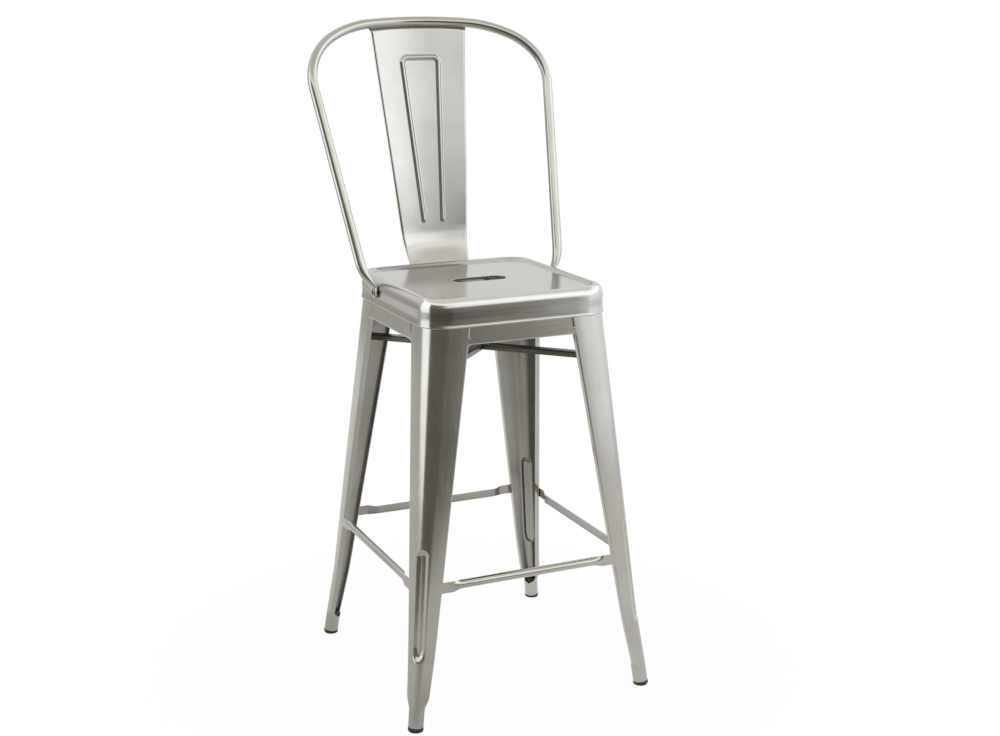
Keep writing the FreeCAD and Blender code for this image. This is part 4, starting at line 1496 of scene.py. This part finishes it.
@dataclass
class BackSplat:
    """Pressed sheet from behind the seat up into the top rail, with rolled edges and a raised hairpin rib."""

    hoop: BackHoop
    seat_back: float = 158.5
    sheet: float = 1.5
    foot: float = 625.0
    bend_z: float = 652.0
    step_z: float = 715.0
    step_back: float = 28.5
    ramp: tuple[float, float, float, float] = (650.5, 657.0, 672.0, 711.0)
    half_foot: float = 54.5
    half_step: float = 61.5
    half_top: float = 86.8
    edge_r: float = 4.5
    edge_turn: float = math.radians(80)
    rib_top: float = 1001.5
    rib_foot: float = 722.0
    rib_half_top: float = 38.5
    rib_half_foot: float = 22.5
    rib_half_width: float = 5.3
    rib_height: float = 3.1
    rib_corner: float = 9.0
    rib_margin: float = 11.0
    rib_crown: float = 1.15
    low_bow: float = 3.2
    low_bow_rise: float = 45.0
    low_bow_fade: tuple[float, float] = (760.0, 250.0)
    bend_round: float = 8.0
    flare: float = 3.0
    flare_start: float = 16.0
    flare_height: float = 14.0
    tuck: float = 3.0
    tuck_start: float = 10.0
    tuck_height: float = 6.0
    top_sink: float = 3.0
    sharp_degrees: float = 65.0

    def corner(self) -> Vector:
        """Point on the top rail above the splat's corner."""
        return self.hoop.above(self.half_top)

    def front(self, z: float) -> float:
        """Y of the front face in the middle, which runs up in an S behind the seat and then straight.

        Args:
            z: height.

        Returns:
            The place there.
        """
        top = self.hoop.crown(math.pi / 2)
        step_y = self.seat_back + self.step_back
        slope = (top.y - self.sheet / 2 - step_y) / (top.z - self.step_z)
        foot, low, high, head = self.ramp
        if z >= head:
            return step_y + slope * (z - self.step_z)
        reach = step_y + slope * (head - self.step_z) - self.seat_back
        steep = (reach - slope * (head - high) / 2) / ((low - foot) / 2 + high - low + (head - high) / 2)

        def swept(start: float, end: float) -> float:
            """Area under a smooth step from start to end, up to z."""
            part = min(1.0, max(0.0, (z - start) / (end - start)))
            return (end - start) * (part ** 3 - part ** 4 / 2)

        straight = min(max(z - low, 0.0), high - low)
        bend = min(max(z - high, 0.0), head - high)
        ramped = steep * (swept(foot, low) + straight + bend)
        return self.seat_back + ramped + (slope - steep) * swept(high, head)

    def half(self, z: float) -> float:
        """Half the width, with rounded bends and flared top corners.

        Args:
            z: height.

        Returns:
            The half width there.
        """
        corner_z = self.corner().z
        knots = [(self.foot, self.half_foot), (self.bend_z, self.half_foot), (self.step_z, self.half_step),
                 (corner_z, self.half_top)]
        flared = self.flare * ease((z - corner_z + self.flare_start) / self.flare_height) ** 2
        return averaged(lambda h: bent(h, knots), z, self.bend_round) + flared

    def bow(self, z: float) -> float:
        """How far the middle lies behind the edges.

        Args:
            z: height.

        Returns:
            The bow there.
        """
        corner = self.corner()
        bow = max(0.0, between(z, self.step_z, corner.z, 0, self.hoop.crown(math.pi / 2).y - corner.y))
        fade_z, fade = self.low_bow_fade
        low = ease((z - self.ramp[1]) / self.low_bow_rise) * (1 - ease((z - fade_z) / fade))
        return bow + self.low_bow * low

    def rib_path(self) -> list[Vector]:
        """Right half of the rib's centreline in the sheet.

        Returns:
            X and Z of its points, from its foot to the middle of its top.
        """
        inset = self.rib_half_width
        foot = Vector((self.rib_half_foot - inset, self.rib_foot + inset))
        top = Vector((self.rib_half_top - inset, self.rib_top - inset))
        down = (foot - top).normalized()
        opening = math.acos(-down.x)
        reach = self.rib_corner / math.tan(opening / 2)
        start = top + down * reach
        centre = Vector((top.x - reach, top.y - self.rib_corner))
        turn = math.pi - opening
        arc = [centre + Vector((math.sin(a), math.cos(a))) * self.rib_corner for a in spread(turn, 0, 8)]
        return [foot, start] + arc + [Vector((0, top.y))]

    def rib(self, x: float, z: float, path: Sequence[Vector]) -> float:
        """Height of the rib.

        Args:
            x: place across the sheet.
            z: height on the sheet.
            path: the rib's centreline.

        Returns:
            How far the rib stands out of the sheet there.
        """
        at = Vector((abs(x), z))
        if z < self.rib_foot - 1 or z > self.rib_top + 1 or abs(x) > self.rib_half_top + 1:
            return 0.0
        nearest = self.rib_half_width
        for a, b in zip(path, path[1:]):
            run = b - a
            if run.length_squared < 1e-9:
                continue
            part = min(1.0, max(0.0, (at - a).dot(run) / run.length_squared))
            nearest = min(nearest, (at - a - run * part).length)
        return self.rib_height * ease(self.rib_crown * (1 - nearest / self.rib_half_width))

    def stations(self, z: float) -> list[tuple[float, float]]:
        """Right half of a row, close together over the rib.

        Args:
            z: the row's height.

        Returns:
            Place from the middle, and how far the edge has rolled there.
        """
        inner = self.half(z) - self.edge_r
        foot, top = self.rib_half_foot - self.rib_half_width, self.rib_half_top - self.rib_half_width
        rib = between(z, self.rib_foot, self.rib_top, foot, top)
        near, far = max(rib - self.rib_margin, rib * 0.25), rib + self.rib_half_width + 1.0
        flat = spread(0, near, 5)[:-1] + spread(near, far, 27)[:-1] + spread(far, inner, 10)
        return [(x, 0.0) for x in flat] + [(inner, turn) for turn in spread(0.06, self.edge_turn, 8)]

    def row(self, share: float, path: Sequence[Vector]) -> Ring:
        """One row of points across the sheet.

        Args:
            share: share of the sheet's height.
            path: the rib's centreline.

        Returns:
            The row, from the left to the right.
        """
        right = self.stations(between(share, 0, 1, self.foot, self.top_z(0.0)))
        points: Ring = []
        for sign, run in ((-1, right[:0:-1]), (1, right)):
            for place, turn in run:
                top = self.top_z(place / right[-1][0])
                z = between(share, 0, 1, self.foot, top)
                half = self.half(z)
                x = sign * (place + self.edge_r * math.sin(turn))
                y = self.front(z) - self.bow(z) * (x / half) ** 2 + self.edge_r * (1 - math.cos(turn))
                lift = 0.0 if turn else self.rib(x, z, path)
                tucked = self.tuck * ease((z - top + self.tuck_start) / self.tuck_height)
                points.append(Vector((x, y - lift + tucked, z)))
        return points

    def shares(self) -> list[float]:
        """Heights of the sheet's rows, close together at the bends and the rib's ends.

        Returns:
            Shares of the sheet's height, from its foot up.
        """
        top, foot, head = self.top_z(0.0), self.rib_foot, self.rib_top
        heights = stacked((self.foot, self.bend_z - 4, 4), (self.bend_z - 3, foot - 3, 44),
                          (foot - 2, foot + 14, 22), (foot + 20, head - 22, 36), (head - 18, head + 2, 32),
                          (head + 6, top - 14, 8), (top - 12, top, 9))
        return [(z - self.foot) / (top - self.foot) for z in heights]

    def top_z(self, u: float) -> float:
        """Height of the sheet's upper edge, hidden in the top rail, at a share of the half width."""
        return self.hoop.above(u * self.half_top).z - self.top_sink

    def build(self, finishes: Finishes) -> None:
        """Makes the splat.

        Args:
            finishes: the stool's finishes.
        """
        path = self.rib_path()
        rings = walled([self.row(share, path) for share in self.shares()], self.sheet)
        put_sheet("back_splat_sheet", rings, finishes.splat, Slot.BACK, "back_splat",
                  sharp_degrees=self.sharp_degrees)


class CopyTree:
    """Node tree that sets copies of a small part on points, each turned to its point's direction."""

    def __init__(self) -> None:
        """Builds the tree with its named inputs."""
        tree = bpy.data.node_groups.new("copies_on_points", "GeometryNodeTree")
        face = tree.interface
        face.new_socket("Geometry", in_out="INPUT", socket_type="NodeSocketGeometry")
        self.part, self.size, self.vary, self.finish = (
            face.new_socket(name, in_out="INPUT", socket_type="NodeSocket" + kind).identifier
            for name, kind in (("Part", "Object"), ("Size", "Float"), ("Variation", "Float"),
                               ("Finish", "Material")))
        face.new_socket("Geometry", in_out="OUTPUT", socket_type="NodeSocketGeometry")
        start = add(tree, "NodeGroupInput")
        part = add(tree, "GeometryNodeObjectInfo", {"Object": (start, "Part"), "As Instance": True})
        way = add(tree, "GeometryNodeInputNamedAttribute", {"Name": "way"}, data_type="FLOAT_VECTOR")
        turn = add(tree, "FunctionNodeAlignRotationToVector", {"Vector": (way, "Attribute")}, axis="Z")
        least, most = (add(tree, "ShaderNodeMath", {0: 1.0, 1: (start, "Variation")}, operation=step)
                       for step in ("SUBTRACT", "ADD"))
        chance = add(tree, "FunctionNodeRandomValue", {2: (least, "Value"), 3: (most, "Value"), "Seed": SEED},
                     data_type="FLOAT")
        scale = add(tree, "ShaderNodeMath", {0: (chance, 1), 1: (start, "Size")}, operation="MULTIPLY")
        copies = add(tree, "GeometryNodeInstanceOnPoints",
                     {"Points": (start, "Geometry"), "Instance": (part, "Geometry"),
                      "Rotation": (turn, "Rotation"), "Scale": (scale, "Value")})
        real = add(tree, "GeometryNodeRealizeInstances", {"Geometry": (copies, "Instances")})
        dressed = add(tree, "GeometryNodeSetMaterial",
                      {"Geometry": (real, "Geometry"), "Material": (start, "Finish")})
        add(tree, "NodeGroupOutput", {"Geometry": (dressed, "Geometry")})
        self.tree = tree

    def run(self, name: str, seats: Sequence[tuple[Vector, Vector]], part: Object,
            finish: Material, size: float, vary: float) -> Mesh:
        """Runs the tree on a list of seats.

        Args:
            name: the new mesh's name.
            seats: point and direction of each copy, in millimetres round the seat's middle.
            part: object that is copied.
            finish: the copies' material.
            size: scale of the copies.
            vary: how much the scale varies from copy to copy.

        Returns:
            A plain mesh of all the copies.
        """
        points = bpy.data.meshes.new(name + "_points")
        points.from_pydata([(at + SEAT_TO_FRAME) * MM for at, _ in seats], [], [])
        ways = points.attributes.new("way", "FLOAT_VECTOR", "POINT")
        for value, (_, way) in zip(ways.data, seats):
            value.vector = way.normalized()
        holder = bpy.data.objects.new(name + "_points", points)
        bpy.context.scene.collection.objects.link(holder)
        modifier = holder.modifiers.new("copies", "NODES")
        modifier.node_group = self.tree
        for socket, value in ((self.part, part), (self.size, size), (self.vary, vary), (self.finish, finish)):
            modifier[socket] = value
        depsgraph = bpy.context.evaluated_depsgraph_get()
        mesh = bpy.data.meshes.new_from_object(holder.evaluated_get(depsgraph))
        mesh.name = name
        holder.modifiers.remove(modifier)
        bpy.data.objects.remove(holder)
        return mesh

    @staticmethod
    def pattern(name: str, rings: Sequence[Ring]) -> Object:
        """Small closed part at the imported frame's origin, which run copies.

        Args:
            name: the part's name.
            rings: its rings round its own origin, in millimetres.

        Returns:
            The part.
        """
        placed = [[p - SEAT_TO_FRAME for p in ring] for ring in rings]
        part = bpy.data.objects.new(name, mesh_of(name, placed, capped=True))
        bpy.context.scene.collection.objects.link(part)
        return part


@dataclass
class Fasteners:
    """Button-headed bolts through the hoop's ends and the splat, set out by a node tree."""

    hoop: BackHoop
    splat: BackSplat
    head_r: float = 6.3
    head_height: float = 3.6
    head_rim: float = 0.7
    dome_turn: float = math.radians(62)
    dome_power: float = 0.9
    dome_share: float = 0.883
    socket_r: float = 2.9
    socket_depth: float = 2.2
    shank_r: float = 4.0
    shank_length: float = 16.0
    splat_spacing: float = 60.0
    seat_out: float = 3.6
    steps: int = 48

    def head(self) -> Object:
        """One bolt on the Z axis, under whose head the origin lies.

        Returns:
            The bolt, to be copied by the tree.
        """
        low, top, shank, rim = -self.shank_length, self.head_height, self.shank_r, self.head_rim
        core = 0.3
        outside: Profile = [(core, low), (shank - 0.6, low), (shank, low + 0.8), (shank, -0.1),
                            (shank + 0.2, 0.0), (self.head_r - 0.2, 0.0), (self.head_r, 0.2),
                            (self.head_r, rim)]
        for angle in spread(0, self.dome_turn, 9)[1:]:
            outside.append((self.head_r * math.cos(angle) ** self.dome_power,
                            rim + (top - rim) * math.sin(angle) / self.dome_share))
        floor = top - self.socket_depth
        socket: Profile = [(self.socket_r + 0.35, top), (self.socket_r, top - 0.3), (self.socket_r, floor)]
        rings = []
        for profile, hexagonal in ((outside, False), (socket, True), ([(core, floor - 0.6)], False)):
            for radius, z in profile:
                ring: Ring = []
                for angle in around(self.steps):
                    sector = (angle + math.pi / 6) % (math.pi / 3) - math.pi / 6
                    reach = radius * math.cos(math.pi / 6) / math.cos(sector) if hexagonal else radius
                    ring.append(Vector((reach * math.cos(angle), reach * math.sin(angle), z)))
                rings.append(ring)
        return CopyTree.pattern("bolt_pattern", rings)

    def build(self, finishes: Finishes) -> None:
        """Makes the hoop's two bolts and the splat's two bolts.

        Args:
            finishes: the stool's finishes.
        """
        outer = self.hoop.seat_half + self.seat_out
        hoop_seats = [(Vector((s * outer, self.hoop.bolt_y, self.hoop.bolt_z)), Vector((s, 0, 0)))
                      for s in (-1, 1)]
        back = self.splat.seat_back + self.splat.sheet
        splat_seats = [(Vector((s * self.splat_spacing / 2, back, self.hoop.bolt_z)), Vector((0, 1, 0)))
                       for s in (-1, 1)]
        head = self.head()
        copier = CopyTree()
        for name, seats, node in (("hoop_bolt_heads", hoop_seats, "hoop_bolts"),
                                  ("splat_bolt_heads", splat_seats, "splat_bolts")):
            mesh = copier.run(name, seats, head, finishes.zinc, 1.0, 0.0)
            put(name, mesh, finishes.zinc, Slot.FASTENER, [node])
        bpy.data.objects.remove(head)
        for node in ("hoop_washers", "hoop_nuts", "splat_washers", "splat_nuts"):
            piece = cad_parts[node]
            piece.data.materials.clear()
            piece.data.materials.append(finishes.zinc)
            log.info("%s: kept, with the bolts' finish", node)


@dataclass
class Welds:
    """Weld beads in the joints and weld spots at the slits' ends, set out by the same node tree."""

    form: FrameForm
    apron: Apron
    rung: Rung
    splat: BackSplat
    ripple: float = 1.5
    spot: float = 1.9
    flatness: float = 0.62
    variation: float = 0.12
    pitch_share: float = 0.8
    splat_share: float = 1.25
    splat_runs: tuple[tuple[float, float], ...] = ((-78, -52), (-14, 14), (52, 78))
    splat_behind: float = 2.2
    splat_sunk: float = 0.6
    spot_drop: float = 1.0
    spot_sunk: float = 0.15
    spot_tilt: float = 0.05

    def ripple_part(self) -> Object:
        """One ripple of a weld: a flattened ball of radius 1 mm.

        Returns:
            The ripple, to be copied by the tree.
        """
        rings = []
        for tilt in spread(-math.pi / 2 + 0.15, math.pi / 2 - 0.15, 6):
            radius, z = math.cos(tilt), self.flatness * math.sin(tilt)
            rings.append([Vector((radius * math.cos(a), radius * math.sin(a), z)) for a in around(10)])
        return CopyTree.pattern("weld_ripple", rings)

    def along(self, start: Vector, end: Vector) -> list[tuple[Vector, Vector]]:
        """Seats of the ripples on a straight weld.

        Args:
            start: the weld's start.
            end: the weld's end.

        Returns:
            Point and direction of each ripple.
        """
        run = end - start
        count = max(2, int(run.length / (self.ripple * self.pitch_share)))
        return [(start.lerp(end, k / (count - 1)), run) for k in range(count)]

    def slit_spots(self) -> list[tuple[Vector, Vector]]:
        """Seats of the spots at the lower ends of the aprons' slits.

        Returns:
            Point and direction of each spot.
        """
        seats = []
        for side in Side:
            z = self.form.skirt_z - self.apron.slit_drop - self.spot_drop
            x = self.apron.edge(side, z)
            y = self.form.out_half(side)(z)
            out = turned([Vector((0, 1, self.spot_tilt))], side)[0]
            for sign in (-1, 1):
                seats.append((turned([Vector((sign * x, y - self.spot_sunk, z))], side)[0], out))
        return seats

    def rung_beads(self) -> list[tuple[Vector, Vector]]:
        """Seats of the beads behind the rungs' tabs.

        Returns:
            Point and direction of each ripple.
        """
        seats = []
        for side in Side:
            run_half, out_half = self.form.run_half(side), self.form.out_half(side)
            for sign in (-1, 1):
                ends = []
                for z in (self.rung.bottom + 1, self.rung.bottom + self.rung.height - 1):
                    x = run_half(z) - self.form.face(z)
                    ends.append(Vector((sign * x, out_half(z) - self.rung.sheet, z)))
                seats += [(turned([at], side)[0], turned([way], side)[0])
                          for at, way in self.along(*ends)]
        return seats

    def splat_beads(self) -> list[tuple[Vector, Vector]]:
        """Seats of the beads behind the top rail, where the splat meets it.

        Returns:
            Point and direction of each ripple.
        """
        seats = []
        tube = self.splat.hoop.tube_r
        for start, end in self.splat_runs:
            points = []
            for x in spread(start, end, 22):
                rail = self.splat.hoop.above(x)
                points.append(Vector((x, rail.y + self.splat_behind, rail.z - tube + self.splat_sunk)))
            seats += [(at, b - at) for at, b in zip(points, points[1:])]
        return seats

    def build(self, finishes: Finishes) -> None:
        """Makes the weld beads and spots.

        Args:
            finishes: the stool's finishes.
        """
        copier = CopyTree()
        ball = self.ripple_part()
        splat_ripple = self.ripple * self.splat_share
        for name, seats, size, slot in (("rung_weld_beads", self.rung_beads(), self.ripple, Slot.FRAME),
                                        ("splat_weld_beads", self.splat_beads(), splat_ripple, Slot.BACK),
                                        ("slit_weld_spots", self.slit_spots(), self.spot, Slot.FRAME)):
            mesh = copier.run(name, seats, ball, finishes.weld, size, self.variation)
            put(name, mesh, finishes.weld, slot)
        bpy.data.objects.remove(ball)


@dataclass
class Studio:
    """White sweep with soft light from the sides and from above, and the photograph's camera."""

    camera_at: Vector = field(default_factory=lambda: Vector((-962.995, -2143.649, 1091.877)))
    yaw: float = 0.4098
    pitch: float = 0.2448
    roll: float = -0.0045
    focal_px: float = 1472.46
    centre_px: tuple[float, float] = (455.12, 366.55)
    frame_px: tuple[int, int] = (1000, 736)
    sensor: float = 36.0
    floor_r: float = 3300.0
    shaded: str = "565450"
    pale: str = "c9c8c3"
    warmth: float = 0.27
    least_warmth: float = -0.055
    red_share: float = 0.3
    ceiling: tuple[tuple[float, float, float], ...] = ((0.48, 0.56, 0.85), (0.66, 0.74, 0.52))

    def camera(self) -> None:
        """Sets up the camera."""
        forward = Vector((math.sin(self.yaw) * math.cos(self.pitch), math.cos(self.yaw) * math.cos(self.pitch),
                          -math.sin(self.pitch)))
        right = Vector((math.cos(self.yaw), -math.sin(self.yaw), 0))
        above = right.cross(forward)
        tilted = right * math.cos(self.roll) + above * math.sin(self.roll)
        above = above * math.cos(self.roll) - right * math.sin(self.roll)
        data = bpy.data.cameras.new("camera")
        width, height = self.frame_px
        data.sensor_width = self.sensor
        data.lens = self.sensor * self.focal_px / width
        data.shift_x = (width / 2 - self.centre_px[0]) / width
        data.shift_y = (self.centre_px[1] - height / 2) / width
        data.clip_end = 100.0
        camera = bpy.data.objects.new("camera", data)
        axes = Matrix((tilted, above, -forward)).transposed()
        camera.matrix_world = Matrix.Translation(self.camera_at * MM) @ axes.to_4x4()
        bpy.context.scene.collection.objects.link(camera)
        bpy.context.scene.camera = camera

    def ramp(self, tree: NodeTree, turn: Node, stops: Profile) -> Node:
        """Adds brightness by compass direction.

        Args:
            tree: the world's tree.
            turn: node whose Fac goes once round the compass, from the left over the front.
            stops: place on that round and half the brightness there.

        Returns:
            The ramp's node.
        """
        ramp = add(tree, "ShaderNodeValToRGB", {"Fac": (turn, "Fac")})
        elements = ramp.color_ramp.elements
        elements[0].position, elements[1].position = stops[0][0], stops[-1][0]
        for place, _ in stops[1:-1]:
            elements.new(place)
        for element, (_, level) in zip(elements, stops):
            warmth = max(self.least_warmth, self.warmth * (0.5 - level))
            element.color = (level * (1 + self.red_share * warmth), level, level * (1 - warmth), 1.0)
        return ramp

    @staticmethod
    def whiteness(tree: NodeTree, share: Node) -> Node:
        """Adds how white a ray finds the sweep: wholly from the camera, by a share in metal and glass.

        Args:
            tree: the tree of the world or the floor.
            share: node whose Value is that share.

        Returns:
            The node that holds it.
        """
        path = add(tree, "ShaderNodeLightPath")
        mirrored = add(tree, "ShaderNodeMath", {0: (path, "Is Glossy Ray"), 1: (path, "Is Transmission Ray")},
                       operation="ADD")
        return add(tree, "ShaderNodeMath",
                   {0: (mirrored, "Value"), 1: (share, "Value"), 2: (path, "Is Camera Ray")},
                   operation="MULTIPLY_ADD", use_clamp=True)

    def world(self) -> None:
        """White backdrop, and soft boxes round the stool for its reflections."""
        world = bpy.data.worlds.new("sweep")
        bpy.context.scene.world = world
        world.use_nodes = True
        tree = world.node_tree
        tree.nodes.clear()
        coords = add(tree, "ShaderNodeTexCoord")
        turn = add(tree, "ShaderNodeTexGradient", {"Vector": (coords, "Generated")}, gradient_type="RADIAL")
        low = self.ramp(tree, turn, [(0.0, 1.05), (0.02, 1.05), (0.034, 0.1), (0.25, 0.09), (0.295, 0.12),
                                     (0.325, 0.17), (0.336, 0.78), (0.42, 0.8), (0.58, 0.6), (0.64, 0.36),
                                     (0.76, 0.32), (0.83, 0.29), (0.888, 0.37), (0.91, 0.9), (0.93, 1.05)])
        high = self.ramp(tree, turn, [(0.0, 1.05), (0.02, 1.05), (0.034, 0.12), (0.11, 0.12), (0.18, 0.2),
                                      (0.222, 0.5), (0.25, 0.68), (0.3, 0.7), (0.325, 0.9), (0.345, 1.15),
                                      (0.53, 1.15), (0.585, 0.8), (0.64, 0.38), (0.888, 0.38), (0.91, 0.9),
                                      (0.93, 1.05)])
        way = add(tree, "ShaderNodeSeparateXYZ", {"Vector": (coords, "Generated")})
        rise = add(tree, "ShaderNodeMapRange", {"Value": (way, "Z"), "From Min": 0.17, "From Max": 0.275},
                   interpolation_type="SMOOTHSTEP")
        sides = add(tree, "ShaderNodeMix", {"Factor": (rise, "Result"), 6: (low, "Color"), 7: (high, "Color")},
                    data_type="RGBA")
        for start, end, level in self.ceiling:
            rise = add(tree, "ShaderNodeMapRange", {"Value": (way, "Z"), "From Min": start, "From Max": end},
                       interpolation_type="SMOOTHSTEP")
            sides = add(tree, "ShaderNodeMix", {"Factor": (rise, "Result"), 6: (sides, 2),
                                                7: (level, level, level, 1.0)}, data_type="RGBA")
        boxes = add(tree, "ShaderNodeBackground", {"Color": (sides, 2), "Strength": 2.0})
        white = add(tree, "ShaderNodeBackground", {"Color": (1, 1, 1, 1), "Strength": 1.0})
        behind = add(tree, "ShaderNodeMapRange", {"Value": (way, "Y"), "From Min": 0.45, "From Max": 0.75,
                                                  "To Max": 0.78})
        above = add(tree, "ShaderNodeMapRange", {"Value": (way, "Z"), "From Min": 0.0, "From Max": 0.12})
        backdrop = add(tree, "ShaderNodeMath", {0: (behind, "Result"), 1: (above, "Result")},
                       operation="MULTIPLY")
        shown = self.whiteness(tree, backdrop)
        seen = add(tree, "ShaderNodeMixShader", {0: (shown, "Value"), 1: (boxes, "Background"),
                                                 2: (white, "Background")})
        add(tree, "ShaderNodeOutputWorld", {"Surface": (seen, "Shader")})

    def floor(self) -> None:
        """Pale floor that fades into the white backdrop and keeps the stool's soft shadow."""
        drop = Vector((0, 0, -0.3))
        rings = [[Vector((math.cos(a), math.sin(a), 0)) * share * self.floor_r - SEAT_TO_FRAME + drop
                  for a in around(96)] for share in (0.001, 0.1, 0.3, 0.6, 1.0)]
        mesh = mesh_of("floor", rings)
        material, tree = new_material("pale_floor_sweep")
        coords = add(tree, "ShaderNodeTexCoord")
        distance = add(tree, "ShaderNodeVectorMath", {0: (coords, "Object")}, operation="LENGTH")
        ahead, aside, side = (
            add(tree, "ShaderNodeVectorMath", {0: (coords, "Object"), 1: way}, operation="DOT_PRODUCT")
            for way in ((-0.5, -0.866, 0.0), (0.883, 0.469, 0.0), (0.866, -0.5, 0.0)))
        width = add(tree, "ShaderNodeMath", {0: (side, "Value")}, operation="ABSOLUTE")
        near, right, middle, front = (
            add(tree, "ShaderNodeMapRange", {"Value": (place, "Value"), "From Min": start, "From Max": end,
                                             "To Max": most}, interpolation_type="SMOOTHSTEP")
            for place, start, end, most in ((ahead, 1.85, 1.0, 1.0), (aside, -0.15, 0.03, 1.0),
                                            (width, 0.26, 0.1, 1.0), (ahead, 0.32, 0.44, 0.25)))
        shade = add(tree, "ShaderNodeMath", {0: (middle, "Result"), 1: (front, "Result")},
                    operation="MULTIPLY")
        close = add(tree, "ShaderNodeMath", {0: (near, "Result"), 1: (shade, "Value")}, operation="SUBTRACT",
                    use_clamp=True)
        lit = add(tree, "ShaderNodeMath", {0: (close, "Value"), 1: (right, "Result")}, operation="MAXIMUM")
        paint = add(tree, "ShaderNodeMix", {"Factor": (lit, "Value"), 6: linear(self.shaded),
                                            7: linear(self.pale)}, data_type="RGBA")
        matt = add(tree, "ShaderNodeBsdfDiffuse", {"Color": (paint, 2)})
        sweep = add(tree, "ShaderNodeEmission", {"Color": (1, 1, 1, 1), "Strength": 1.0})
        veil = add(tree, "ShaderNodeMapRange", {"Value": (distance, "Value"), "From Min": 0.3, "From Max": 0.7,
                                                "To Min": 0.95, "To Max": 1.0}, interpolation_type="SMOOTHSTEP")
        shown = add(tree, "ShaderNodeMixShader",
                    {0: (veil, "Result"), 1: (matt, "BSDF"), 2: (sweep, "Emission")})
        bright = add(tree, "ShaderNodeMath", {0: (right, "Result"), 1: 0.75}, operation="MULTIPLY")
        part = add(tree, "ShaderNodeMath", {0: (lit, "Value"), 1: 0.25, 2: (bright, "Value")},
                   operation="MULTIPLY_ADD")
        whitened = self.whiteness(tree, part)
        seen = add(tree, "ShaderNodeMixShader",
                   {0: (whitened, "Value"), 1: (matt, "BSDF"), 2: (shown, "Shader")})
        add(tree, "ShaderNodeOutputMaterial", {"Surface": (seen, "Shader")})
        mesh.materials.append(material)
        floor = bpy.data.objects.new("floor", mesh)
        bpy.context.scene.collection.objects.link(floor)

    def build(self) -> None:
        """Sets up the camera, the light, the floor and the view."""
        self.camera()
        self.world()
        self.floor()
        bpy.context.scene.view_settings.view_transform = "Standard"
        log.info("studio: camera, sweep and floor")


def main() -> None:
    """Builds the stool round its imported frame."""
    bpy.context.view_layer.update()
    finishes = Finishes()
    form = FrameForm()
    hoop = BackHoop()
    splat = BackSplat(hoop)
    apron = Apron(form)
    rung = Rung(form)
    SeatPan().build(finishes)
    Leg(form).build(finishes)
    Foot(form).build(finishes)
    apron.build(finishes)
    rung.build(finishes)
    CrossBrace(form).build(finishes)
    hoop.build(finishes)
    splat.build(finishes)
    Fasteners(hoop, splat).build(finishes)
    Welds(form, apron, rung, splat).build(finishes)
    Studio().build()


if __name__ == "__main__":
    main()
